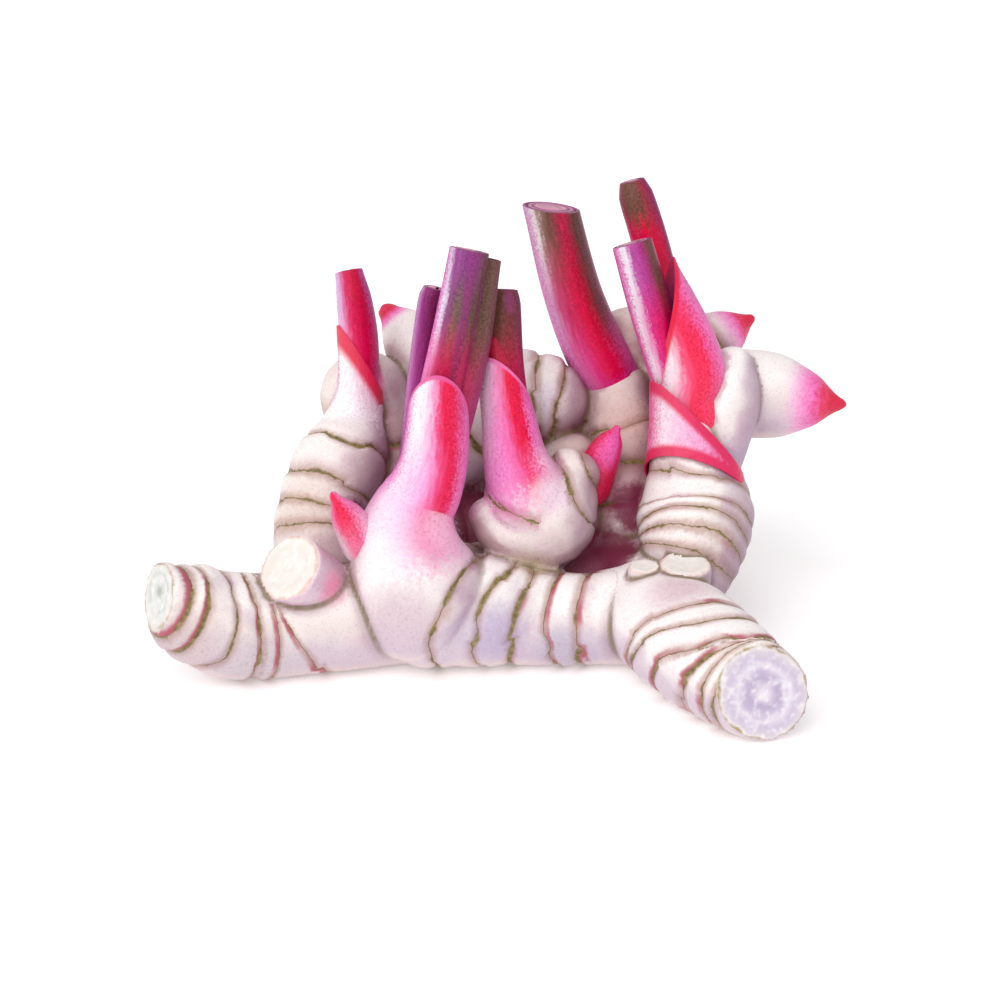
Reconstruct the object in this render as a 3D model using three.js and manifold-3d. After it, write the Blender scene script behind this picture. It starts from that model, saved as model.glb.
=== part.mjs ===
// A fresh galangal root: one branching rhizome with its cut ends and pale buds, and the
// pink shoots, leaf sheaths and scale buds that stand on it. Millimetres, +Z up. The origin
// is on the resting surface, under the middle of the whole clump.
import * as THREE from 'three';
import { mergeVertices } from 'three/addons/utils/BufferGeometryUtils.js';
import Module from 'manifold-3d';

const wasm = await Module();
wasm.setup();

const GAP = 0.3; // clearance between neighbouring pieces
const BRANCH_STEP = 6; // longest step along a branch's centre line
const SHOOT_STEP = 10; // and along a shoot's
const TIP_STEPS = 3; // rings in a rounded tip
const BRANCH_SIDES = 13;
const SHOOT_SIDES = 11;
const BLOCK = 300; // edge of the block that makes a knife cut
const WELD = 1e-4; // vertices closer than this are one

const ROUND = 'round';
const CUT = 'cut';

const COLOURS = {
  rhizome: 0xf1e6e2,
  stem: 0xb0386a,
  dark_stem: 0x7d3a55,
  sheath: 0xf08fbe,
  bud: 0xe8476b,
};

// Branches of the rhizome. A station is [x, y, z, radius] on the centre line.
const BRANCHES = {
  left_finger: {
    stations: [[-93, -31, 28.2, 6.5], [-85.6, -28.3, 25.8, 7.8], [-80, -25.8, 21.2, 11.2],
      [-71, -22.5, 15, 13], [-60, -18.5, 13, 13.3], [-42, -14, 13, 13.3], [-20, -8, 13, 13.3]],
    ends: [CUT, ROUND],
    knife: { at: [-85.6, -28.3, 25.8], facing: [-0.82, -0.5, 0.27] },
  },
  cut_knob: {
    stations: [[-45.5, -14, 20.1, 8.2], [-53.8, -24, 30.6, 8.8]],
    ends: [ROUND, CUT],
  },
  front_finger: {
    stations: [[36, -10, 13, 13.2], [23, -11, 11.9, 11.9], [8, -11, 12, 12], [-6, -12, 14.1, 13.9],
      [-20, -13.5, 16, 14.5]],
    ends: [ROUND, ROUND],
  },
  front_bulb: {
    stations: [[-19, -13, 15.5, 15.5], [-21, -14, 18, 17.6], [-24, -13.7, 25.8, 16.1], [-24.9, -13, 32, 13.7],
      [-24.3, -12.1, 37.7, 11.8], [-23, -11.1, 41.6, 10.3], [-21, -10.1, 45.5, 8.6]],
    ends: [ROUND, ROUND],
  },
  right_finger: {
    stations: [[35, -11, 13.2, 13.6], [43, -27, 13.5, 14.4], [50.8, -43, 13.1, 13.8],
      [63.5, -63, 11.4, 10.8]],
    ends: [ROUND, CUT],
    knife: { at: [61.8, -58, 11.7], facing: [0.28, -0.93, 0.22] },
  },
  front_core: {
    stations: [[-20, -2, 13.2, 13.4], [3, 9, 12, 12.5], [28, 8, 12, 12], [41, -5, 13.5, 12.6]],
    ends: [ROUND, ROUND],
  },
  back_core: {
    stations: [[-34, 18, 15, 13.5], [-10, 27, 16, 14.5], [17, 29, 16, 14.5], [38, 18, 16, 13]],
    ends: [ROUND, ROUND],
  },
  rear_left_finger: {
    stations: [[-12, 28, 14, 13], [-20, 42, 12.8, 12.9], [-24, 49, 11.8, 11.5]],
    ends: [ROUND, ROUND],
  },
  rear_right_finger: {
    stations: [[28, 28, 14, 13], [36, 42, 12.8, 12.9], [39, 50, 11.8, 11.5]],
    ends: [ROUND, ROUND],
  },
  left_finger_riser: {
    stations: [[-42, 0, 14, 12.5], [-48.5, 5, 27, 11.3], [-46, 12, 38, 12], [-41, 19, 47, 11],
      [-38, 24, 55, 6]],
    ends: [ROUND, ROUND],
  },
  left_knob: {
    stations: [[-28, 23, 22, 12.5], [-33, 31, 41, 12.3], [-37.5, 36, 55.5, 11.8]],
    ends: [ROUND, ROUND],
  },
  back_left_bud: {
    stations: [[-14, 36, 32, 12], [-18.5, 44, 54, 10.6], [-24.2, 47.5, 64.5, 8.8], [-28.8, 50.5, 70.8, 5.8],
      [-31.6, 52, 73.6, 2.8]],
    ends: [ROUND, ROUND],
  },
  back_finger: {
    stations: [[-16, 34, 38, 12], [-6, 36, 49, 13], [3, 36.5, 53.5, 14], [8.5, 36, 54, 12.6]],
    ends: [ROUND, ROUND],
  },
  middle_finger: {
    stations: [[15.8, 8, 42.5, 7.6], [14.5, 6, 40.5, 9.4], [11.5, 3, 36.5, 11.7], [9.4, 1, 32.9, 12.3],
      [5.6, 0, 31.6, 11.1], [1.8, -1.2, 31.7, 9.5], [-2.5, -2, 33.3, 6.8], [-5.5, -2, 36.2, 4.3]],
    ends: [ROUND, ROUND],
  },
  middle_root: {
    stations: [[20, 27, 18, 11], [12, 13, 29, 11]],
    ends: [ROUND, ROUND],
  },
  inner_core: {
    stations: [[8, 24, 20, 12], [16, 28, 38.5, 9.5]],
    ends: [ROUND, ROUND],
  },
  middle_shoulder: {
    stations: [[8, 2, 33.5, 12.2], [5.8, 1.5, 38.6, 11.7], [3.6, 2.2, 43.5, 10.1], [2, 3, 48.4, 8.1]],
    ends: [ROUND, ROUND],
  },
  centre_finger: {
    stations: [[28, 16, 15, 12], [30.5, 26, 31, 11], [30.5, 36, 45, 11], [29.5, 41.5, 53, 10]],
    ends: [ROUND, ROUND],
  },
  back_right_knob: {
    stations: [[30, 34, 20, 12], [35, 47, 42, 11.5], [32.5, 52, 64, 10.7]],
    ends: [ROUND, ROUND],
  },
  right_bulb: {
    stations: [[43, -3, 17, 11.5], [46.5, 1, 26, 13.8], [48, 7.6, 34.5, 14.8], [47.1, 10.7, 41.2, 12.2],
      [46.3, 12.4, 46.5, 10.4], [45.6, 14, 51, 8.9]],
    ends: [ROUND, ROUND],
  },
  right_shoulder: {
    stations: [[52.4, 16, 46.6, 8.4], [55.4, 18.5, 55.8, 8.6], [57, 21.5, 62.8, 7.8], [57.8, 25, 66.1, 6]],
    ends: [ROUND, ROUND],
  },
  right_bulge: {
    stations: [[40, 20, 22, 12], [49, 26, 42, 10.2], [57, 31, 57, 11], [66, 31, 57.5, 11.4],
      [72.5, 30, 57, 10.2], [80, 28.5, 56.6, 6.6], [86.8, 27.5, 56, 1.5]],
    ends: [ROUND, ROUND],
  },
  back_right_bud: {
    stations: [[36, 47, 55, 9], [49, 50, 62.5, 9.4], [56, 52, 66.5, 7.6], [61, 54, 69, 4.8],
      [65, 55, 71, 1.5]],
    ends: [ROUND, ROUND],
  },
  big_scar: {
    stations: [[43.8, -14.3, 18, 7], [44, -15.6, 28.3, 6.6]],
    ends: [ROUND, CUT],
  },
  small_scar: {
    stations: [[33.8, -14.5, 18, 4.8], [33.8, -15.8, 28, 4]],
    ends: [ROUND, CUT],
  },
};

// Shoots: flat-topped where a knife took the leaves off, rounded below.
const STEMS = {
  left_shoot_stem: [[-38.8, 26, 57.6, 5], [-38.4, 29, 71.5, 5.1], [-39.6, 31, 83, 4.6], [-41, 33, 90.3, 3.6]],
  front_shoot_stem: [[-22.8, -11, 40, 6], [-19, -7, 58, 6], [-14.3, -3, 80, 5.4], [-9.5, 2, 104, 5]],
  rear_left_stem: [[-24.5, 20, 34, 4.2], [-23, 18, 55, 4], [-20.6, 19, 76, 3.8], [-19.1, 19.8, 87, 3.6],
    [-18.7, 20, 89.4, 2.8]],
  middle_shoot_stem: [[1.3, 3, 48, 6.2], [-0.2, 4.5, 60.6, 5.8], [-1, 8, 73.4, 4.9], [-1, 12.2, 88.2, 4.1],
    [-1, 13, 90.8, 3.3]],
  centre_shoot_stem: [[29.5, 42, 55.5, 7.6], [24.2, 42, 64, 8.3], [17.3, 43, 80.5, 7.7],
    [10.3, 45.2, 107.5, 7.1]],
  right_shoot_stem: [[47, 18.5, 50, 5.8], [41.5, 20, 68, 5.8], [35.6, 21.5, 86, 5.6], [31.4, 24, 100, 5.2]],
  back_right_stem: [[50, 36, 52, 5.6], [42.5, 37, 76, 5], [36, 39, 99, 4.8], [32.9, 40.6, 108.5, 4.5],
    [31.9, 41.1, 112, 3.3]],
};

// Stems whose top was cut at a slant.
const SLANTED_TOPS = {
  centre_shoot_stem: { at: [11, 45, 104], facing: [0.1, 0.05, 1] },
};

const DARK_STEMS = ['rear_left_stem', 'middle_shoot_stem', 'back_right_stem'];

// Leaves wrapped round the shoots. A mouth is the oblique edge where the wrap opens, a foot
// the oblique edge where it leaves the branch.
const SHEATHS = {
  left_shoot_sheath: {
    stations: [[-40.3, 22, 50.7, 8.6], [-39, 24, 55.5, 6.9], [-38.2, 25.5, 60.7, 5.9], [-38.2, 28, 67.8, 5.6],
      [-38.7, 29.5, 74.1, 5.5], [-39.1, 31, 80.3, 5.2]],
    mouth: { at: [-38.4, 26.8, 68.8], facing: [0.8, 0.36, 0.47] },
  },
  front_shoot_inner_leaf: {
    stations: [[-19.5, -7, 46, 5.8], [-14.5, -3.5, 62, 5.8], [-9.4, 1.5, 81, 5.2], [-5.6, 5.5, 101, 4]],
  },
  front_shoot_sheath: {
    stations: [[-24.6, -12.4, 36, 10.6], [-24.2, -12, 38.5, 10.5], [-22.9, -11, 42, 10],
      [-20.6, -10, 46, 9.3], [-18.6, -8.5, 51.8, 8.5], [-17.7, -7.2, 57.9, 8.1], [-17.2, -6, 65.8, 7.5],
      [-16.5, -5, 78, 6.8]],
    mouth: { at: [-17.3, -8.2, 68.8], facing: [0.08, 0.88, 0.46] },
  },
  middle_shoot_inner_leaf: {
    stations: [[0.4, 3.8, 52, 5.8], [-1, 5.6, 66, 5.2], [-2.8, 8, 77, 3.9], [-4, 10, 85.5, 1.2]],
  },
  middle_shoot_sheath: {
    stations: [[4.9, 1.8, 40, 10.2], [3.6, 2.2, 43.8, 9.5], [1.7, 3, 50, 8.1], [0.2, 4, 59.4, 6.9],
      [-0.9, 5.2, 66, 6.3], [-1.7, 7, 76, 5.8]],
    mouth: { at: [-0.3, 3.8, 70.5], facing: [0.44, 0.71, 0.55] },
  },
  right_shoot_lower_sheath: {
    stations: [[47.2, 9.6, 37, 13.6], [47.1, 10.8, 41.2, 12.8], [46.4, 12.4, 46.5, 11], [45.7, 14, 51, 9.6],
      [45.2, 15.4, 55.5, 8.7], [44.7, 17, 63.2, 8.1], [44.4, 18, 68.2, 7.9]],
    mouth: { at: [47.9, 11.8, 55.5], facing: [0.7, 0.4, 0.6] },
    foot: { at: [44.7, 4.5, 47.8], facing: [-0.27, -0.66, -0.7] },
  },
  right_shoot_upper_sheath: {
    stations: [[47.8, 17, 49.3, 9.2], [47, 16.6, 56.3, 8.3], [46, 17.4, 60.7, 8], [46.9, 18.5, 67, 8.7],
      [45.6, 20, 74.2, 7.8], [41.7, 21.5, 84.4, 6.5], [38.6, 23, 91.9, 5.3], [36.8, 24, 98, 4.6]],
    mouth: { at: [40.9, 15.9, 82.7], facing: [-0.97, -0.15, 0.19] },
  },
};

// Small scale-leaved buds beside the shoots.
const BUDS = {
  left_bud: [[-36, -14, 33, 5.5], [-40, -17.5, 42, 4], [-42.7, -19, 47.4, 1.2]],
  centre_bud: [[21.5, 16, 37.5, 5.4], [24.2, 15, 45.5, 4.6], [26.5, 15.5, 50.2, 3.2], [27.9, 16, 53, 1]],
};

function pathThrough(stations) {
  return new THREE.CatmullRomCurve3(stations.map(([x, y, z]) => new THREE.Vector3(x, y, z)));
}

// Half outline of a form laid out straight along Y, from pole to pole.
function outline(length, steps, radiusAt, ends, grow) {
  const points = [];
  const first = radiusAt(0);
  const last = radiusAt(1);
  if (ends[0] === CUT) points.push(new THREE.Vector2(0, -grow), new THREE.Vector2(first, -grow));
  else for (let i = 0; i < TIP_STEPS; i += 1) points.push(tipPoint(first, 0, i / TIP_STEPS, -1));
  for (let i = 0; i <= steps; i += 1) {
    points.push(new THREE.Vector2(radiusAt(i / steps), (i / steps) * length));
  }
  const top = length + grow;
  if (ends[1] === CUT) points.push(new THREE.Vector2(last, top), new THREE.Vector2(0, top));
  else for (let i = TIP_STEPS - 1; i >= 0; i -= 1) points.push(tipPoint(last, length, i / TIP_STEPS, 1));
  return points;
}

// Point on a rounded tip: fraction 0 is the pole, 1 the rim.
function tipPoint(radius, base, fraction, side) {
  const angle = (fraction * Math.PI) / 2;
  return new THREE.Vector2(radius * Math.sin(angle), base + side * radius * Math.cos(angle));
}

// A closed round form bent along its stations.
function bentForm(stations, options = {}) {
  const { ends = [ROUND, CUT], sides = SHOOT_SIDES, step = SHOOT_STEP, grow = 0 } = options;
  const path = pathThrough(stations);
  const radii = new THREE.SplineCurve(stations.map((station, i) => new THREE.Vector2(i, station[3])));
  const length = path.getLength();
  const steps = Math.max(stations.length - 1, Math.ceil(length / step));
  const frames = path.computeFrenetFrames(steps);
  const radiusAt = (u) => radii.getPoint(path.getUtoTmapping(u)).y + grow;
  const form = new THREE.LatheGeometry(outline(length, steps, radiusAt, ends, grow), sides);
  const vertices = form.attributes.position;
  for (let i = 0; i < vertices.count; i += 1) {
    const along = vertices.getY(i);
    const u = THREE.MathUtils.clamp(along / length, 0, 1);
    const frame = Math.round(u * steps);
    const point = path.getPointAt(u)
      .addScaledVector(frames.tangents[frame], along - u * length)
      .addScaledVector(frames.binormals[frame], vertices.getX(i))
      .addScaledVector(frames.normals[frame], vertices.getZ(i));
    vertices.setXYZ(i, point.x, point.y, point.z);
  }
  return toSolid(form);
}

// Welds a closed geometry and hands it to the boolean library.
function toSolid(geometry) {
  geometry.deleteAttribute('normal');
  geometry.deleteAttribute('uv');
  const welded = mergeVertices(geometry, WELD);
  const corners = welded.index.array;
  const triangles = [];
  for (let i = 0; i < corners.length; i += 3) {
    const [a, b, c] = corners.slice(i, i + 3);
    if (a !== b && b !== c && c !== a) triangles.push(a, b, c);
  }
  return new wasm.Manifold(new wasm.Mesh({
    numProp: 3,
    vertProperties: welded.attributes.position.array,
    triVerts: new Uint32Array(triangles),
  }));
}

// Block with one face through `at`, filling the side that `facing` points to.
function knifeBlock({ at, facing }) {
  const direction = new THREE.Vector3(...facing).normalize();
  const block = new THREE.BoxGeometry(BLOCK, BLOCK, BLOCK);
  block.translate(0, 0, BLOCK / 2);
  block.applyQuaternion(new THREE.Quaternion().setFromUnitVectors(new THREE.Vector3(0, 0, 1), direction));
  block.translate(...at);
  return toSolid(block);
}

function union(solids) {
  return solids.reduce((whole, solid) => whole.add(solid));
}

function makeBranch({ stations, ends, knife }, grow) {
  const branch = bentForm(stations, { ends, sides: BRANCH_SIDES, step: BRANCH_STEP, grow });
  return knife ? branch.subtract(knifeBlock(knife)) : branch;
}

// The whole rhizome, rubbed flat where it rests.
function makeRhizome(grow = 0) {
  const rhizome = union(Object.values(BRANCHES).map((branch) => makeBranch(branch, grow)));
  return rhizome.subtract(knifeBlock({ at: [0, 0, -grow], facing: [0, 0, -1] }));
}

function makeStem(name, grow = 0) {
  const stem = bentForm(STEMS[name], { grow });
  return name in SLANTED_TOPS ? stem.subtract(knifeBlock(SLANTED_TOPS[name])) : stem;
}

function makeSheath({ stations, mouth, foot }, grow = 0) {
  const wrap = bentForm(stations, { ends: [CUT, CUT], grow });
  return [mouth, foot].filter(Boolean).reduce((solid, edge) => solid.subtract(knifeBlock(edge)), wrap);
}

// A piece trimmed by its neighbours keeps its main body and loses any crumb.
function mainBody(solid) {
  return solid.decompose().reduce((a, b) => (a.volume() > b.volume() ? a : b));
}

// Every piece is trimmed to clear the rhizome, the stems and the wraps made before it.
function makeSolids() {
  const solids = { rhizome: makeRhizome() };
  let taken = makeRhizome(GAP);
  for (const name of Object.keys(STEMS)) solids[name] = mainBody(makeStem(name).subtract(taken));
  taken = taken.add(union(Object.keys(STEMS).map((name) => makeStem(name, GAP))));
  for (const [name, sheath] of Object.entries(SHEATHS)) {
    solids[name] = mainBody(makeSheath(sheath).subtract(taken));
    taken = taken.add(makeSheath(sheath, GAP));
  }
  for (const [name, stations] of Object.entries(BUDS)) {
    solids[name] = mainBody(bentForm(stations, { ends: [ROUND, ROUND] }).subtract(taken));
  }
  return solids;
}

function colourOf(name) {
  if (name === 'rhizome') return COLOURS.rhizome;
  if (name in BUDS) return COLOURS.bud;
  if (name in SHEATHS) return COLOURS.sheath;
  return DARK_STEMS.includes(name) ? COLOURS.dark_stem : COLOURS.stem;
}

function makePiece(name, solid) {
  const { vertProperties, triVerts } = solid.getMesh();
  const geometry = new THREE.BufferGeometry();
  geometry.setAttribute('position', new THREE.BufferAttribute(vertProperties, 3));
  geometry.setIndex(new THREE.BufferAttribute(triVerts, 1));
  const finish = new THREE.MeshStandardMaterial({ color: colourOf(name), roughness: 0.45, metalness: 0 });
  const piece = new THREE.Mesh(geometry, finish);
  piece.name = name;
  return piece;
}

const root = new THREE.Group();
for (const [name, solid] of Object.entries(makeSolids())) root.add(makePiece(name, solid));

export default root;
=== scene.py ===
"""Looks of a fresh galangal root: pale ringed rhizome, cut ends, and glossy pink shoots."""
import math

import bmesh
import bpy
import numpy as np
from mathutils import Matrix, Vector, noise
from mathutils.bvhtree import BVHTree
from mathutils.kdtree import KDTree


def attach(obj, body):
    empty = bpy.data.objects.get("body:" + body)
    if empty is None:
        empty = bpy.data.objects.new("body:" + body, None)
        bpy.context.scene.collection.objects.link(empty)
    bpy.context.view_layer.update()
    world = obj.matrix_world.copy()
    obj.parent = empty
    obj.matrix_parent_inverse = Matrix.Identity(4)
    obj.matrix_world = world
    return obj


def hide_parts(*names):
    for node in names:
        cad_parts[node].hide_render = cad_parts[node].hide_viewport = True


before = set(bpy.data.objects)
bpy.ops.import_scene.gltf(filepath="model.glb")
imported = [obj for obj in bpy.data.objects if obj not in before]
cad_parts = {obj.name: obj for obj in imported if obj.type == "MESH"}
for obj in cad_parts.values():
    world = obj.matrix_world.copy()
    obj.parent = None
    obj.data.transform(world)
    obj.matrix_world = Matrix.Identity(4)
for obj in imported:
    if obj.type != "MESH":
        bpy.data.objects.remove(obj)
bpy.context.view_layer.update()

MM = 0.001

# Spacing in mm of the points at which a path is searched.
PATH_STEP = 0.6
BODY = "root"

# ---------------------------------------------------------------- camera, light and floor

CAMERA_TARGET = Vector((-2, -7, 42)) * MM
CAMERA_DISTANCE = 694 * MM
CAMERA_ELEVATION = math.radians(20)


def make_camera():
    data = bpy.data.cameras.new("camera")
    data.lens = 100
    data.sensor_width = 36
    data.clip_end = 20
    camera = bpy.data.objects.new("camera", data)
    bpy.context.scene.collection.objects.link(camera)
    back = Vector((0, -math.cos(CAMERA_ELEVATION), math.sin(CAMERA_ELEVATION)))
    camera.location = CAMERA_TARGET + back * CAMERA_DISTANCE
    camera.rotation_euler = back.to_track_quat("Z", "Y").to_euler()
    bpy.context.scene.camera = camera


make_camera()

# ---------------------------------------------------------------- colours and nodes


def linear(hex_colour):
    """sRGB hex to an opaque linear colour."""
    channels = [int(hex_colour[i:i + 2], 16) / 255 for i in (1, 3, 5)]
    return [c / 12.92 if c <= 0.04045 else ((c + 0.055) / 1.055) ** 2.4 for c in channels] + [1.0]


def add_node(tree, kind, settings=None, links=None, stops=None):
    """Adds a node, sets its properties, and fills inputs with values or another node's output."""
    node = tree.nodes.new(kind)
    for name, value in (settings or {}).items():
        setattr(node, name, value)
    for name, value in (links or {}).items():
        if isinstance(value, bpy.types.Node):
            value = value.outputs[0]
        if isinstance(value, bpy.types.NodeSocket):
            tree.links.new(value, node.inputs[name])
        else:
            node.inputs[name].default_value = value
    if stops:
        ramp = node.color_ramp
        while len(ramp.elements) < len(stops):
            ramp.elements.new(0.5)
        for element, (place, colour) in zip(ramp.elements, stops):
            element.position = place
            element.color = linear(colour)
    return node


def new_material(name):
    material = bpy.data.materials.new(name)
    material.use_nodes = True
    material.node_tree.nodes.clear()
    return material, material.node_tree


# ---------------------------------------------------------------- paths


def smooth_path(stations, samples=24):
    """Points, radii and arc lengths, in mm, on a centripetal Catmull-Rom curve through the stations."""
    given = np.array(stations, float)
    ends = [2 * given[0] - given[1]], [2 * given[-1] - given[-2]]
    knots = np.vstack([ends[0], given, ends[1]])
    knots[0, 3], knots[-1, 3] = given[0, 3], given[-1, 3]
    rows = []
    for i in range(len(given) - 1):
        a, b, c, d = knots[i:i + 4]
        spans = [max(np.linalg.norm((q - p)[:3]) ** 0.5, 1e-4) for p, q in ((a, b), (b, c), (c, d))]
        before = (b - a) / spans[0] - (c - a) / (spans[0] + spans[1]) + (c - b) / spans[1]
        after = (c - b) / spans[1] - (d - b) / (spans[1] + spans[2]) + (d - c) / spans[2]
        before, after = before * spans[1], after * spans[1]
        before[3], after[3] = (c[3] - a[3]) / 2, (d[3] - b[3]) / 2
        last = i == len(given) - 2
        for t in np.linspace(0, 1, samples, endpoint=last):
            rows.append((2 * t**3 - 3 * t**2 + 1) * b + (t**3 - 2 * t**2 + t) * before
                        + (3 * t**2 - 2 * t**3) * c + (t**3 - t**2) * after)
    rows = np.array(rows)
    steps = np.linalg.norm(np.diff(rows[:, :3], axis=0), axis=1)
    return rows[:, :3], rows[:, 3], np.concatenate([[0], np.cumsum(steps)])


def resample(path, spacing):
    """The same path at even steps of about `spacing` mm, with its tangents."""
    points, radii, along = path
    count = max(3, round(along[-1] / spacing) + 1)
    even = np.linspace(0, along[-1], count)
    moved = np.stack([np.interp(even, along, points[:, k]) for k in range(3)], axis=1)
    tangents = np.gradient(moved, axis=0)
    tangents /= np.linalg.norm(tangents, axis=1)[:, None]
    return moved, np.interp(even, along, radii), even, tangents


def follow(path, vertices):
    """Per vertex: mm along the path (past an end too), offset, mm outside, radius and mm off the line."""
    points, radii, along, tangents = resample(path, PATH_STEP)
    square = (points**2).sum(1)
    nearest = np.empty(len(vertices), int)
    for start in range(0, len(vertices), 20000):
        block = vertices[start:start + 20000]
        nearest[start:start + 20000] = (square - 2 * block @ points.T).argmin(1)
    offset = vertices - points[nearest]
    ahead = (offset * tangents[nearest]).sum(1)
    place = along[nearest] + ahead
    distance = np.linalg.norm(offset, axis=1)
    aside = np.sqrt(np.maximum(distance**2 - ahead**2, 0))
    return place, offset, distance - radii[nearest], radii[nearest], aside


# ---------------------------------------------------------------- rhizome shape

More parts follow.
